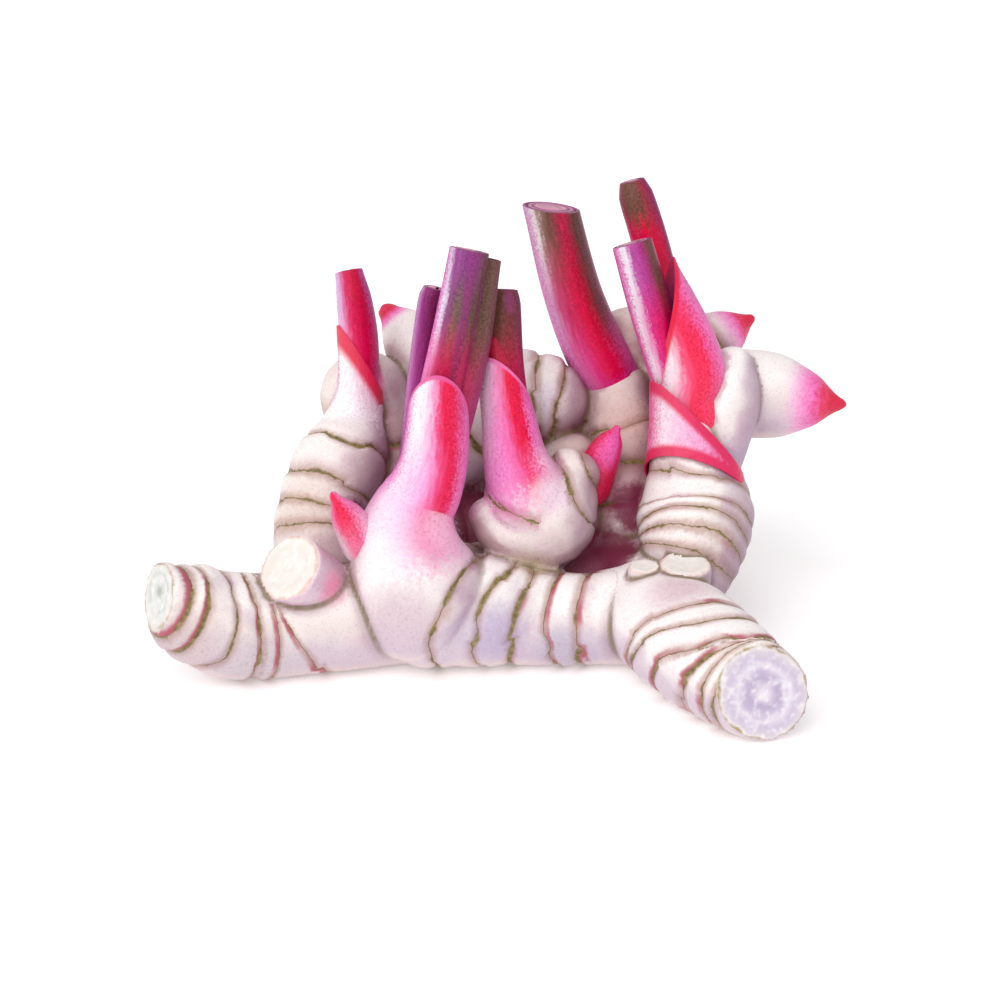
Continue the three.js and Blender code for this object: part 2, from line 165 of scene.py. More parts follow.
# A branch: stations [x, y, z, radius] in mm, as in the solid, which end is cut flat, and a point
# and direction for the knife where that cut slants. Its age is how tan the skin is. Its blush is
# how far in mm and how deeply its tip reddens, and its flush an even blush all over. Lilac is 1 for
# lilac flesh and -1 for cream, and seam how dark the crease line and the painted shade beside a
# neighbour are. Its leaf scars are (mm along, lean of the ring in x, y and z, strength, crimson
# share), or those of the branch that it takes its rings from; a branch that lists none has evenly
# spaced ones.
BRANCHES = {
    "left_finger": dict(
        stations=[[-93, -31, 28.2, 6.5], [-85.6, -28.3, 25.8, 7.8], [-80, -25.8, 21.2, 11.2],
                  [-71, -22.5, 15, 13], [-60, -18.5, 13, 13.3], [-42, -14, 13, 13.3],
                  [-20, -8, 13, 13.3]],
        cut="start", knife=((-85.6, -28.3, 25.8), (-0.82, -0.5, 0.27)), age=0.1,
        scars=[(11.4, (0, 0.16, 0.15), 0.7, 1), (15.3, (0, 0.27, 0.15), 0.8, 0.4),
               (21, (0.2, 0.55, -0.18), 0.9, 0.15), (32.5, (0, 0.18, 0.1), 0.8, 0.6),
               (37.3, (0, 0.2, 0.1), 0.3, 0.6), (44.2, (0.15, 0.16, 0.7), 0.42, 0.5)]),
    "cut_knob": dict(
        stations=[[-45.5, -14, 20.1, 8.2], [-53.8, -24, 30.6, 8.8]], cut="end", age=0, flush=0.14, lilac=-1,
        scars=[(0.5, (0, 0, 0), 0.9, 0)]),
    "front_finger": dict(
        stations=[[36, -10, 13, 13.2], [23, -11, 11.9, 11.9], [8, -11, 12, 12], [-6, -12, 14.1, 13.9],
                  [-20, -13.5, 16, 14.5]],
        age=0,
        scars=[(4, (0.1, 0.1, 0.1), 0.3, 0.2), (16, (0, 0.29, 0), 0.9, 0.6),
               (22.5, (-0.1, 0.39, -0.1), 0.9, 0.6), (32.8, (0, 0.3, 0.05), 0.95, 0.05),
               (38.5, (0, 0.53, 0.07), 0.9, 0.1), (48.4, (0, 0.47, 0.2), 1, 0)]),
    "front_bulb": dict(
        stations=[[-19, -13, 15.5, 15.5], [-21, -14, 18, 17.6], [-24, -13.7, 25.8, 16.1],
                  [-24.9, -13, 32, 13.7], [-24.3, -12.1, 37.7, 11.8], [-23, -11.1, 41.6, 10.3],
                  [-21, -10.1, 45.5, 8.6]],
        age=0, rings_from="front_finger", scars=[]),
    "right_finger": dict(
        stations=[[35, -11, 13.2, 13.6], [43, -27, 13.5, 14.4], [50.8, -43, 13.1, 13.8],
                  [63.5, -63, 11.4, 10.8]],
        cut="end", knife=((61.8, -58, 11.7), (0.28, -0.93, 0.22)), age=0, lilac=1,
        scars=[(21, (-0.29, -0.13, -0.67), 0.45, 0.2), (25, (-0.35, -0.06, -0.97), 0.9, 0.1),
               (36.4, (-0.41, 0, -0.89), 0.95, 0.6), (43.6, (-0.23, -0.1, -0.38), 0.85, 0.4),
               (46.5, (-0.05, 0, -0.14), 0.5, 0.3), (49.5, (0, 0, -0.18), 0.75, 0)]),
    "front_core": dict(
        stations=[[-20, -2, 13.2, 13.4], [3, 9, 12, 12.5], [28, 8, 12, 12], [41, -5, 13.5, 12.6]], age=0.6),
    "back_core": dict(
        stations=[[-34, 18, 15, 13.5], [-10, 27, 16, 14.5], [17, 29, 16, 14.5], [38, 18, 16, 13]], age=0.5),
    "rear_left_finger": dict(
        stations=[[-12, 28, 14, 13], [-20, 42, 12.8, 12.9], [-24, 49, 11.8, 11.5]], age=0.2),
    "rear_right_finger": dict(
        stations=[[28, 28, 14, 13], [36, 42, 12.8, 12.9], [39, 50, 11.8, 11.5]], age=0.3),
    "left_finger_riser": dict(
        stations=[[-42, 0, 14, 12.5], [-48.5, 5, 27, 11.3], [-46, 12, 38, 12], [-41, 19, 47, 11],
                  [-38, 24, 55, 6]],
        age=0.15,
        scars=[(17.7, (0, 0, 0), 0.3, 0), (22.6, (0, 0, 0), 0.5, 0), (29.3, (0, 0, 0), 0.8, 0),
               (39.6, (-0.1, 0.14, -0.07), 1.1, 0)]),
    "left_knob": dict(
        stations=[[-28, 23, 22, 12.5], [-33, 31, 41, 12.3], [-37.5, 36, 55.5, 11.8]], age=0.35),
    "back_left_bud": dict(
        stations=[[-14, 36, 32, 12], [-18.5, 44, 54, 10.6], [-24.2, 47.5, 64.5, 8.8],
                  [-28.8, 50.5, 70.8, 5.8], [-31.6, 52, 73.6, 2.8]],
        age=0.12, blush=(4.5, 0.8), scars=[]),
    "back_finger": dict(
        stations=[[-16, 34, 38, 12], [-6, 36, 49, 13], [3, 36.5, 53.5, 14], [8.5, 36, 54, 12.6]],
        age=0.08, scars=[(10, (0, 0, 0), 0.7, 0), (22, (0, 0, 0), 0.8, 0), (31.3, (0, 0, 0), 0.9, 0),
                         (35.6, (-0.1, 0, -0.24), 0.9, 0)]),
    "middle_finger": dict(
        stations=[[15.8, 8, 42.5, 7.6], [14.5, 6, 40.5, 9.4], [11.5, 3, 36.5, 11.7], [9.4, 1, 32.9, 12.3],
                  [5.6, 0, 31.6, 11.1], [1.8, -1.2, 31.7, 9.5], [-2.5, -2, 33.3, 6.8],
                  [-5.5, -2, 36.2, 4.3]],
        age=0.3, seam=0.25, scars=[(-3.7, (-0.24, 0.56, 0.36), 0.5, 0), (1.3, (-0.49, 0.49, 0.15), 0.8, 0)]),
    "middle_root": dict(stations=[[20, 27, 18, 11], [12, 13, 29, 11]], age=0.5),
    "inner_core": dict(stations=[[8, 24, 20, 12], [16, 28, 38.5, 9.5]], age=0.5),
    "middle_shoulder": dict(
        stations=[[8, 2, 33.5, 12.2], [5.8, 1.5, 38.6, 11.7], [3.6, 2.2, 43.5, 10.1], [2, 3, 48.4, 8.1]],
        age=0,
        seam=0.25, scars=[(8.8, (0.45, -0.39, 0.2), 0.8, 0)]),
    "centre_finger": dict(
        stations=[[28, 16, 15, 12], [30.5, 26, 31, 11], [30.5, 36, 45, 11], [29.5, 41.5, 53, 10]],
        age=0.42, scars=[(14.8, (-0.16, 0, 0), 0.6, 0), (25.1, (-0.08, 0, 0), 0.6, 0),
                         (39, (-0.26, -0.23, 0.1), 0.9, 0)]),
    "back_right_knob": dict(
        stations=[[30, 34, 20, 12], [35, 47, 42, 11.5], [32.5, 52, 64, 10.7]], age=0.55),
    "right_bulb": dict(
        stations=[[43, -3, 17, 11.5], [46.5, 1, 26, 13.8], [48, 7.6, 34.5, 14.8],
                  [47.1, 10.7, 41.2, 12.2], [46.3, 12.4, 46.5, 10.4], [45.6, 14, 51, 8.9]],
        age=0.1,
        scars=[(6.5, (0, 0.12, -0.1), 0.25, 0), (9.4, (0, 0.18, -0.12), 0.3, 0),
               (12.8, (0, 0.25, -0.1), 0.32, 0), (17.6, (0.1, 0.45, 0.2), 0.32, 0),
               (28.9, (0.45, 0.24, 0.07), 0.35, 0)]),
    "right_shoulder": dict(
        stations=[[52.4, 16, 46.6, 8.4], [55.4, 18.5, 55.8, 8.6], [57, 21.5, 62.8, 7.8], [57.8, 25, 66.1, 6]],
        age=0, seam=0.5, scars=[]),
    "right_bulge": dict(
        stations=[[40, 20, 22, 12], [49, 26, 42, 10.2], [57, 31, 57, 11], [66, 31, 57.5, 11.4],
                  [72.5, 30, 57, 10.2], [80, 28.5, 56.6, 6.6], [86.8, 27.5, 56, 1.5]],
        age=0.1, seam=0.3, blush=(16, 1), scars=[(12, (0, 0, 0), 0.7, 0), (24, (0, 0, 0), 0.7, 0)]),
    "back_right_bud": dict(
        stations=[[36, 47, 55, 9], [49, 50, 62.5, 9.4], [56, 52, 66.5, 7.6], [61, 54, 69, 4.8],
                  [65, 55, 71, 1.5]],
        age=0.3, blush=(12, 1)),
    "big_scar": dict(
        stations=[[43.8, -14.3, 18, 7], [44, -15.6, 28.3, 6.6]], cut="end", age=0, lilac=-1, scars=[]),
    "small_scar": dict(
        stations=[[33.8, -14.5, 18, 4.8], [33.8, -15.8, 28, 4]], cut="end", age=0, lilac=-1, scars=[]),
}

# Deep places between the branches, painted with dark crimson shade: centre in mm and how far the painted
# shade reaches.
HOLLOWS = [((-9, 20, 28), 11), ((24, 4, 20), 13), ((-35, -3, 38), 8), ((33, 13, 33), 8)]

# Places where the skin takes another colour: the branch, the share of the way along it, the side
# that the place faces, its reach in millimetres and the colour there. The pink ones are blush; the
# grey, lilac, dusky and darker tan ones on lower, right-hand and hidden sides are painted shade, and
# the pale ones set the skin's own tone.
SKIN_TINTS_AND_SHADE = [
    ("left_finger", 0.12, (0.3, -0.6, 0.8), 5, "#eea8c0"),
    ("left_finger", 0.35, (0, -0.8, -0.4), 11, "#ccb9b9"),
    ("left_finger", 0.65, (0, -0.9, -0.3), 11, "#cbbfc4"),
    ("cut_knob", 0.5, (0.6, -0.5, 0), 5, "#ec8cae"),
    ("left_finger_riser", 0.5, (-0.4, -1, 0), 10, "#e0cec4"),
    ("front_finger", 0.4, (0, -0.9, -0.4), 10, "#beb4c4"),
    ("front_finger", 0.7, (0, -1, 0), 10, "#b9aac8"),
    ("front_bulb", 0.2, (-0.3, -1, 0), 11, "#d0bbc3"),
    ("front_bulb", 0.75, (0.6, -0.7, 0), 7, "#f2b8d6"),
    ("right_finger", 0.3, (0, -0.4, 1), 10, "#dcc2ca"),
    ("middle_finger", 0.3, (0, -0.8, 0.6), 6, "#ead0e0"),
    ("middle_finger", 0.6, (0, -0.7, -0.8), 8, "#c8b89e"),
    ("centre_finger", 0.4, (-0.2, -1, 0), 8, "#b87890"),
    ("centre_finger", 0.9, (0, -1, 0), 9, "#dec0b8"),
    ("back_finger", 0.8, (0.4, -1, 0.3), 6, "#e8e0ea"),
    ("right_bulb", 0.8, (0.9, -0.5, 0), 8, "#b79ab8"),
]

VOXEL = 0.88 * MM
TUBE_SIDES = 36


def ring_matrix(point, tangent, side, radius):
    """Places a unit circle round a path point, facing along the path."""
    across = tangent.cross(side)
    columns = Matrix((side * radius, across * radius, tangent)).transposed().to_4x4()
    columns.translation = point
    return columns


def tube_rings(path, domed_start, domed_end, spacing=1.5, dome_rings=8):
    """Matrices of the rings of a tube: an even run of rings, and smaller ones over each dome."""
    points, radii, _, tangents = resample(path, spacing)
    points = [Vector(p) for p in points]
    tangents = [Vector(t) for t in tangents]
    side = tangents[0].orthogonal().normalized()
    rings = []
    angles = [k / dome_rings * math.pi / 2 for k in range(1, dome_rings)]
    for i, (point, tangent, radius) in enumerate(zip(points, tangents, radii)):
        side = (side - tangent * side.dot(tangent)).normalized()
        here = [(point, radius)]
        dome = [(radius * math.cos(a), radius * math.sin(a)) for a in reversed(angles)]
        if i == 0 and domed_start:
            here = [(point - tangent * out, small) for out, small in dome[::-1]] + here
        if i == len(points) - 1 and domed_end:
            here += [(point + tangent * out, small) for out, small in dome]
        rings += [ring_matrix(p, tangent, side, max(r, 0.02)) for p, r in here]
    return rings


def add_tube(bm, rings, sides=TUBE_SIDES):
    """A closed tube: a circle carried through every ring by extrusion, with both ends filled."""
    circle = bmesh.ops.create_circle(bm, cap_ends=False, radius=1, segments=sides, matrix=rings[0])
    edges = list({e for v in circle["verts"] for e in v.link_edges})
    first = edges
    for before, after in zip(rings, rings[1:]):
        made = bmesh.ops.extrude_edge_only(bm, edges=edges)["geom"]
        bmesh.ops.transform(bm, matrix=after @ before.inverted(),
                            verts=[g for g in made if isinstance(g, bmesh.types.BMVert)])
        edges = [g for g in made if isinstance(g, bmesh.types.BMEdge)
                 and len(g.link_faces) == 1]
    bmesh.ops.contextual_create(bm, geom=first)
    bmesh.ops.contextual_create(bm, geom=edges)


def finished(bm, name):
    """Scales a mesh worked in mm to metres and makes its object."""
    bmesh.ops.recalc_face_normals(bm, faces=bm.faces)
    bmesh.ops.scale(bm, vec=(MM, MM, MM), verts=bm.verts)
    mesh = bpy.data.meshes.new(name)
    bm.to_mesh(mesh)
    bm.free()
    piece = bpy.data.objects.new(name, mesh)
    bpy.context.scene.collection.objects.link(piece)
    return piece


def branch_solid(name, branch):
    """One branch as a closed tube, with its slanting knife cut if it has one."""
    cut = branch.get("cut")
    bm = bmesh.new()
    add_tube(bm, tube_rings(smooth_path(branch["stations"]), cut != "start", cut != "end"))
    if "knife" in branch:
        at, facing = branch["knife"]
        geometry = bm.verts[:] + bm.edges[:] + bm.faces[:]
        cut_geometry = bmesh.ops.bisect_plane(bm, geom=geometry, plane_co=at, plane_no=facing,
                                              clear_outer=True)
        loop = [g for g in cut_geometry["geom_cut"] if isinstance(g, bmesh.types.BMEdge)]
        bmesh.ops.contextual_create(bm, geom=loop)
    return finished(bm, name)


def apply_modifiers(piece):
    """Swaps the piece's mesh for what its modifiers make of it."""
    depsgraph = bpy.context.evaluated_depsgraph_get()
    piece.data = bpy.data.meshes.new_from_object(piece.evaluated_get(depsgraph))
    piece.modifiers.clear()


def weld_branches():
    """All the branches fused into one even skin."""
    bm = bmesh.new()
    for name, branch in BRANCHES.items():
        solid = branch_solid(name, branch)
        bm.from_mesh(solid.data)
        bpy.data.objects.remove(solid)
    mesh = bpy.data.meshes.new("rhizome_skin")
    bm.to_mesh(mesh)
    bm.free()
    skin = bpy.data.objects.new("rhizome_skin", mesh)
    bpy.context.scene.collection.objects.link(skin)
    remesh = skin.modifiers.new("fuse", "REMESH")
    remesh.mode = "VOXEL"
    remesh.voxel_size = VOXEL
    remesh.adaptivity = 0
    smooth = skin.modifiers.new("relax", "SMOOTH")
    smooth.factor = 0.5
    smooth.iterations = 5
    apply_modifiers(skin)
    return skin


# ---------------------------------------------------------------- reading the shape


def smoothstep(low, high, values):
    t = np.clip((values - low) / (high - low), 0, 1)
    return t * t * (3 - 2 * t)


def vertex_array(mesh, what="co"):
    """Vertex places in mm, or vertex normals."""
    source = mesh.vertices if what == "co" else mesh.vertex_normals
    values = np.empty(len(mesh.vertices) * 3, np.float32)
    source.foreach_get("co" if what == "co" else "vector", values)
    return values.reshape(-1, 3).astype(float) / (MM if what == "co" else 1)


def write_attribute(mesh, name, values):
    """Stores one number or one vector per vertex for the materials to read."""
    kind, field = ("FLOAT_VECTOR", "vector") if values.ndim == 2 else ("FLOAT", "value")
    layer = mesh.attributes.new(name, kind, "POINT")
    layer.data.foreach_set(field, np.ascontiguousarray(values, dtype=np.float32).ravel())


# Evenly spaced scars, in mm: the first one's place, the gaps, and the length left out of the count.
FIRST_SCAR, SCAR_SPACING, BARE_TIP = 6, 8.5, 5

# The gap in mm taken beyond the first and last scars, and how far into it the count of scars runs
# on, short of the half at which it would round to a scar that isn't there.
END_GAP = 8.0
END_PHASE = 0.45

# How far out, as a share of the branch's radius, its cut face meets the skin.
CUT_RIM = 0.95


def scars_of(branch, length):
    """A branch's own leaf scars, or evenly spaced ones."""
    if "scars" in branch:
        return branch["scars"]
    count = int((length - BARE_TIP) / SCAR_SPACING)
    return [(FIRST_SCAR + SCAR_SPACING * k, (0.05, 0, 0.05), 0.75, 0.15) for k in range(count)]


def read_rings(branch, path, place, offset):
    """Per vertex: scar count passed (whole at a scar), mm between scars here, strength, crimson share."""
    scars = scars_of(branch, path[2][-1])
    if not scars:
        flat = np.full(len(place), 0.5)
        return flat, np.full(len(place), END_GAP), np.zeros(len(place)), np.zeros(len(place))
    past = np.array([place + offset @ np.array(lean) - at for at, lean, _, _ in scars])
    past = np.minimum.accumulate(past, axis=0)
    passed = (past >= 0).sum(0)
    rows = np.arange(len(place))
    before = np.where(passed > 0, past[np.maximum(passed - 1, 0), rows], 0)
    after = np.where(passed < len(scars), past[np.minimum(passed, len(scars) - 1), rows], 0)
    inside = (passed > 0) & (passed < len(scars))
    gap = np.where(inside, before - after, END_GAP)
    phase = np.where(inside, passed - 1 + before / np.maximum(gap, 0.1), 0)
    phase = np.where(passed == 0, np.maximum(after / END_GAP, -END_PHASE), phase)
    phase = np.where(passed == len(scars), len(scars) - 1 + np.minimum(before / END_GAP, END_PHASE), phase)
    numbers = np.arange(len(scars))
    strength = np.interp(phase, numbers, [s[2] for s in scars])
    crimson = np.interp(phase, numbers, [s[3] for s in scars])
    return phase, gap, strength, crimson


def wander(vertices):
    """How far in mm each scar strays from its plane: slow drifts, with a sudden sidestep here and there."""
    drift = np.array([noise.noise(Vector(v) / 10) for v in vertices])
    steps = np.array([noise.noise(Vector(v) / 12 + Vector((7, 3, 5))) for v in vertices])
    return 1.5 * drift + 1.5 * smoothstep(0.12, 0.2, steps)


def recess(vertices):
    """Per vertex: how deep it lies in one of the hollows painted with crimson shade, 0 to 1."""
    depth = np.zeros(len(vertices))
    for centre, reach in HOLLOWS:
        distance = np.linalg.norm(vertices - np.array(centre), axis=1)
        depth = np.maximum(depth, smoothstep(1.25 * reach, 0.3 * reach, distance))
    return depth


def tint(vertices):
    """Per vertex: the colour of the tinted and painted-shade places round it, and how strongly it shows."""
    total, strongest = np.full(len(vertices), 1e-6), np.zeros(len(vertices))
    mixed = np.zeros((len(vertices), 3))
    for name, along, side, reach, colour in SKIN_TINTS_AND_SHADE:
        points, radii, _ = smooth_path(BRANCHES[name]["stations"])
        nearest = round(along * (len(points) - 1))
        centre = points[nearest] + radii[nearest] * np.array(side) / np.linalg.norm(side)
        share = smoothstep(1.3 * reach, 0.2 * reach, np.linalg.norm(vertices - centre, axis=1))
        mixed += share[:, None] * np.array(linear(colour)[:3])
        total += share
        strongest = np.maximum(strongest, share)
    return mixed / total[:, None], strongest


def cut_plane(branch, path):
    """A point and the outward direction of a branch's cut face."""
    if "knife" in branch:
        at, facing = (np.array(part, float) for part in branch["knife"])
        return at, facing / np.linalg.norm(facing)
    points = path[0]
    if branch["cut"] == "start":
        facing = points[0] - points[1]
        return points[0], facing / np.linalg.norm(facing)
    facing = points[-1] - points[-2]
    return points[-1], facing / np.linalg.norm(facing)


def read_skin(vertices):
    """What the skin's material needs to know at every vertex, from the branch that the vertex is on."""
    count = len(vertices)
    best, second = np.full(count, 1e9), np.full(count, 1e9)
    best_way, second_way = np.zeros((count, 3)), np.zeros((count, 3))
    chosen = {key: np.zeros(count) for key in
              ("phase", "gap", "strength", "crimson", "blush", "cut", "core", "lilac", "seam")}
    weights = np.zeros(count)
    age = np.zeros(count)
    for name, branch in BRANCHES.items():
        path = smooth_path(branch["stations"])
        place, offset, outside, radius, aside = follow(path, vertices)
        way = offset / np.maximum(np.linalg.norm(offset, axis=1), 1e-6)[:, None]
        if branch.get("cut"):
            at, facing = cut_plane(branch, path)
            height = (vertices - at) @ facing
            outside = np.maximum(aside - radius, height)
        donor = BRANCHES[branch.get("rings_from", name)]
        donor_path = smooth_path(donor["stations"])
        donor_place, donor_offset = follow(donor_path, vertices)[:2] if donor is not branch else (place,
                                                                                                  offset)
        phase, gap, strength, crimson = read_rings(donor, donor_path, donor_place, donor_offset)
        reach, depth = branch.get("blush", (0, 0))
        left = path[2][-1] - place
        tip = depth * np.clip(1 - left / reach, 0, 1) if reach else np.full(count, branch.get("flush", 0.0))
        found = dict(phase=phase, gap=gap, strength=strength, crimson=crimson, blush=tip,
                     cut=np.zeros(count), core=aside / radius, lilac=np.full(count, branch.get("lilac", 0.0)),
                     seam=np.full(count, branch.get("seam", 1.0)))
        if branch.get("cut"):
            found["cut"] = np.clip(0.5 + np.minimum((CUT_RIM - found["core"]) * radius, height + 1.8) / 3,
                                   0, 1)
        nearer = outside < best
        next_best = ~nearer & (outside < second)
        second = np.where(nearer, best, np.where(next_best, outside, second))
        second_way = np.where(nearer[:, None], best_way, np.where(next_best[:, None], way, second_way))
        best = np.where(nearer, outside, best)
        best_way = np.where(nearer[:, None], way, best_way)
        for key, values in found.items():
            chosen[key] = np.where(nearer, values, chosen[key])
        weight = np.exp(-np.maximum(outside, -1) / 2.0)
        weights += weight
        age += weight * branch.get("age", 0.2)
    chosen["age"] = age / weights
    chosen["joint"] = second - best
    chosen["crease"] = chosen["seam"] * smoothstep(0.8, 0.35, (best_way * second_way).sum(1))
    chosen["strength"] *= smoothstep(0.2, 1.2, chosen["joint"])
    chosen["phase"] += wander(vertices) * np.clip(chosen["gap"] / 9 - 0.25, 0.05, 1) / chosen["gap"]
    return chosen


def leaf_colours(node, angles, shares):
    """The colour that a shoot's table gives at each angle round it and share of its length."""
    mixed, reached = None, 0
    for level, stops in COLOURS[node]:
        stops = stops + ((180, stops[0][1]),)
        paint = np.array([linear(colour)[:3] for _, colour in stops])
        ring = np.stack([np.interp(angles, [a for a, _ in stops], paint[:, k]) for k in range(3)], axis=1)
        risen = smoothstep(reached, level, shares)[:, None]
        mixed = ring if mixed is None else mixed * (1 - risen) + ring * risen
        reached = level
    return mixed


def sheath_glow(vertices):
    """Per vertex: the colour of the nearest leaf's foot, and how strongly it shows on the skin below it."""
    colours, shares = np.ones((len(vertices), 3)), np.zeros(len(vertices))
    for node, (reach, spread) in GLOW.items():
        stations = LEAVES[node]["stations"]
        middle = np.array(stations[0][:3])
        near = np.flatnonzero(np.linalg.norm(vertices - middle, axis=1) < reach + 20)
        sine, cosine, share, core = read_shoot(stations, vertices[near])
        foot = share * smooth_path(stations)[2][-1]
        found = leaf_colours(node, np.degrees(np.arctan2(sine, cosine)), share)
        showing = np.clip(1 + (foot - 1) / reach, 0, 1) * smoothstep(spread, 0.7 * spread, core)
        better = showing > shares[near]
        colours[near[better]] = found[better]
        shares[near[better]] = showing[better]
    return colours, shares


def all_faces(pieces):
    """One search tree, in mm, over the faces of several pieces."""
    corners, faces = [], []
    for piece in pieces:
        first = len(corners)
        corners += [v.co / MM for v in piece.data.vertices]
        faces += [[first + i for i in face.vertices] for face in piece.data.polygons]
    return BVHTree.FromPolygons(corners, faces)


RAY_COUNT = 40


def hiddenness(pieces, vertices, normals, reach=16, every=5):
    """How closed-in each vertex is, 0 to 1, from rays cast at every few vertices."""
    tree = all_faces(pieces)
    golden = math.pi * (3 - math.sqrt(5))
    heights = [1 - (2 * k + 1) / RAY_COUNT for k in range(RAY_COUNT)]
    rays = [Vector((math.cos(golden * k) * math.sqrt(1 - h * h),
                    math.sin(golden * k) * math.sqrt(1 - h * h), h))
            for k, h in enumerate(heights)]
    samples = range(0, len(vertices), every)
    known = KDTree(len(samples))
    closed = []
    for number, index in enumerate(samples):
        normal, start = Vector(normals[index]), Vector(vertices[index])
        start += normal * 0.4
        total = blocked = 0.0
        for ray in rays:
            slope = ray.dot(normal)
            if slope > 0.15:
                total += slope
                hit = tree.ray_cast(start, ray, reach)[3]
                if hit is not None:
                    blocked += slope * (1 - hit / reach) ** 0.5
        closed.append(blocked / total)
        known.insert(start, number)
    known.balance()
    result = np.empty(len(vertices))
    for index, vertex in enumerate(vertices):
        near = known.find_n(vertex, 4)
        share = [1 / (0.3 + distance) for _, _, distance in near]
        result[index] = sum(s * closed[n] for s, (_, n, _) in zip(share, near)) / sum(share)
    return result


def shape_skin(skin, shoots):
    """Presses the leaf scars in, swells the skin between them, and flattens the resting side."""
    mesh = skin.data
    vertices, normals = vertex_array(mesh), vertex_array(mesh, "normal")
    found = read_skin(vertices)
    nearest_scar = np.round(found["phase"])
    from_scar = (found["phase"] - nearest_scar) * found["gap"]
    strength = found["strength"] * (nearest_scar > -0.5)
    uncut = 1 - found["cut"]
    groove = np.exp(-(from_scar / 1.0)**2)
    lip = np.exp(-((from_scar + 1.9) / 1.1)**2)
    swell = np.cos(2 * math.pi * found["phase"])
    lumps = np.array([noise.noise(Vector(v) / 13) + 0.4 * noise.noise(Vector(v) / 4.5) for v in vertices])
    rise = uncut * (strength * (0.35 * lip - 0.55 * groove - 0.18 * swell) + 0.38 * lumps)
    rise -= uncut * 0.5 * found["crease"] * np.exp(-(found["joint"] / 1.6)**2)
    core = found["core"]
    dish = -0.3 * smoothstep(0.95, 0.3, core) + 0.15 * np.exp(-((core - 0.62) / 0.1)**2)
    rise += found["cut"] * (dish + 0.12 * lumps)
    vertices += normals * rise[:, None]
    vertices[:, 2] = np.maximum(vertices[:, 2], 0)
    mesh.vertices.foreach_set("co", (vertices * MM).astype(np.float32).ravel())
    mesh.update()
    closed = hiddenness([skin] + shoots, vertices, vertex_array(mesh, "normal"))
    write_attribute(mesh, "rings", np.stack([found["phase"], found["gap"], found["strength"]], axis=1))
    write_attribute(mesh, "tones", np.stack([found["age"], found["blush"], closed], axis=1))
    write_attribute(mesh, "cuts", np.stack([found["cut"], found["core"], found["lilac"]], axis=1))
    write_attribute(mesh, "stains", np.stack([found["crimson"], normals[:, 2], found["joint"]], axis=1))
    write_attribute(mesh, "folds", np.stack([found["crease"], recess(vertices), normals[:, 0]], axis=1))
    tinted, tint_share = tint(vertices)
    write_attribute(mesh, "tint", tinted)
    write_attribute(mesh, "tint_share", tint_share)
    glow, showing = sheath_glow(vertices)
    write_attribute(mesh, "glow", glow)
    write_attribute(mesh, "glow_share", showing)
    mesh.shade_smooth()


# ---------------------------------------------------------------- rhizome material


def per_mm(size):
    """The scale that makes a noise pattern's features about `size` mm across."""
    return 1000 / size


# How the sap colours of the leaves are deepened, with those of the skin that they tint, and the stems'.
SAP_SATURATION, SAP_VALUE = 1.03, 0.95
STEM_SATURATION, STEM_VALUE = 1.06, 0.95


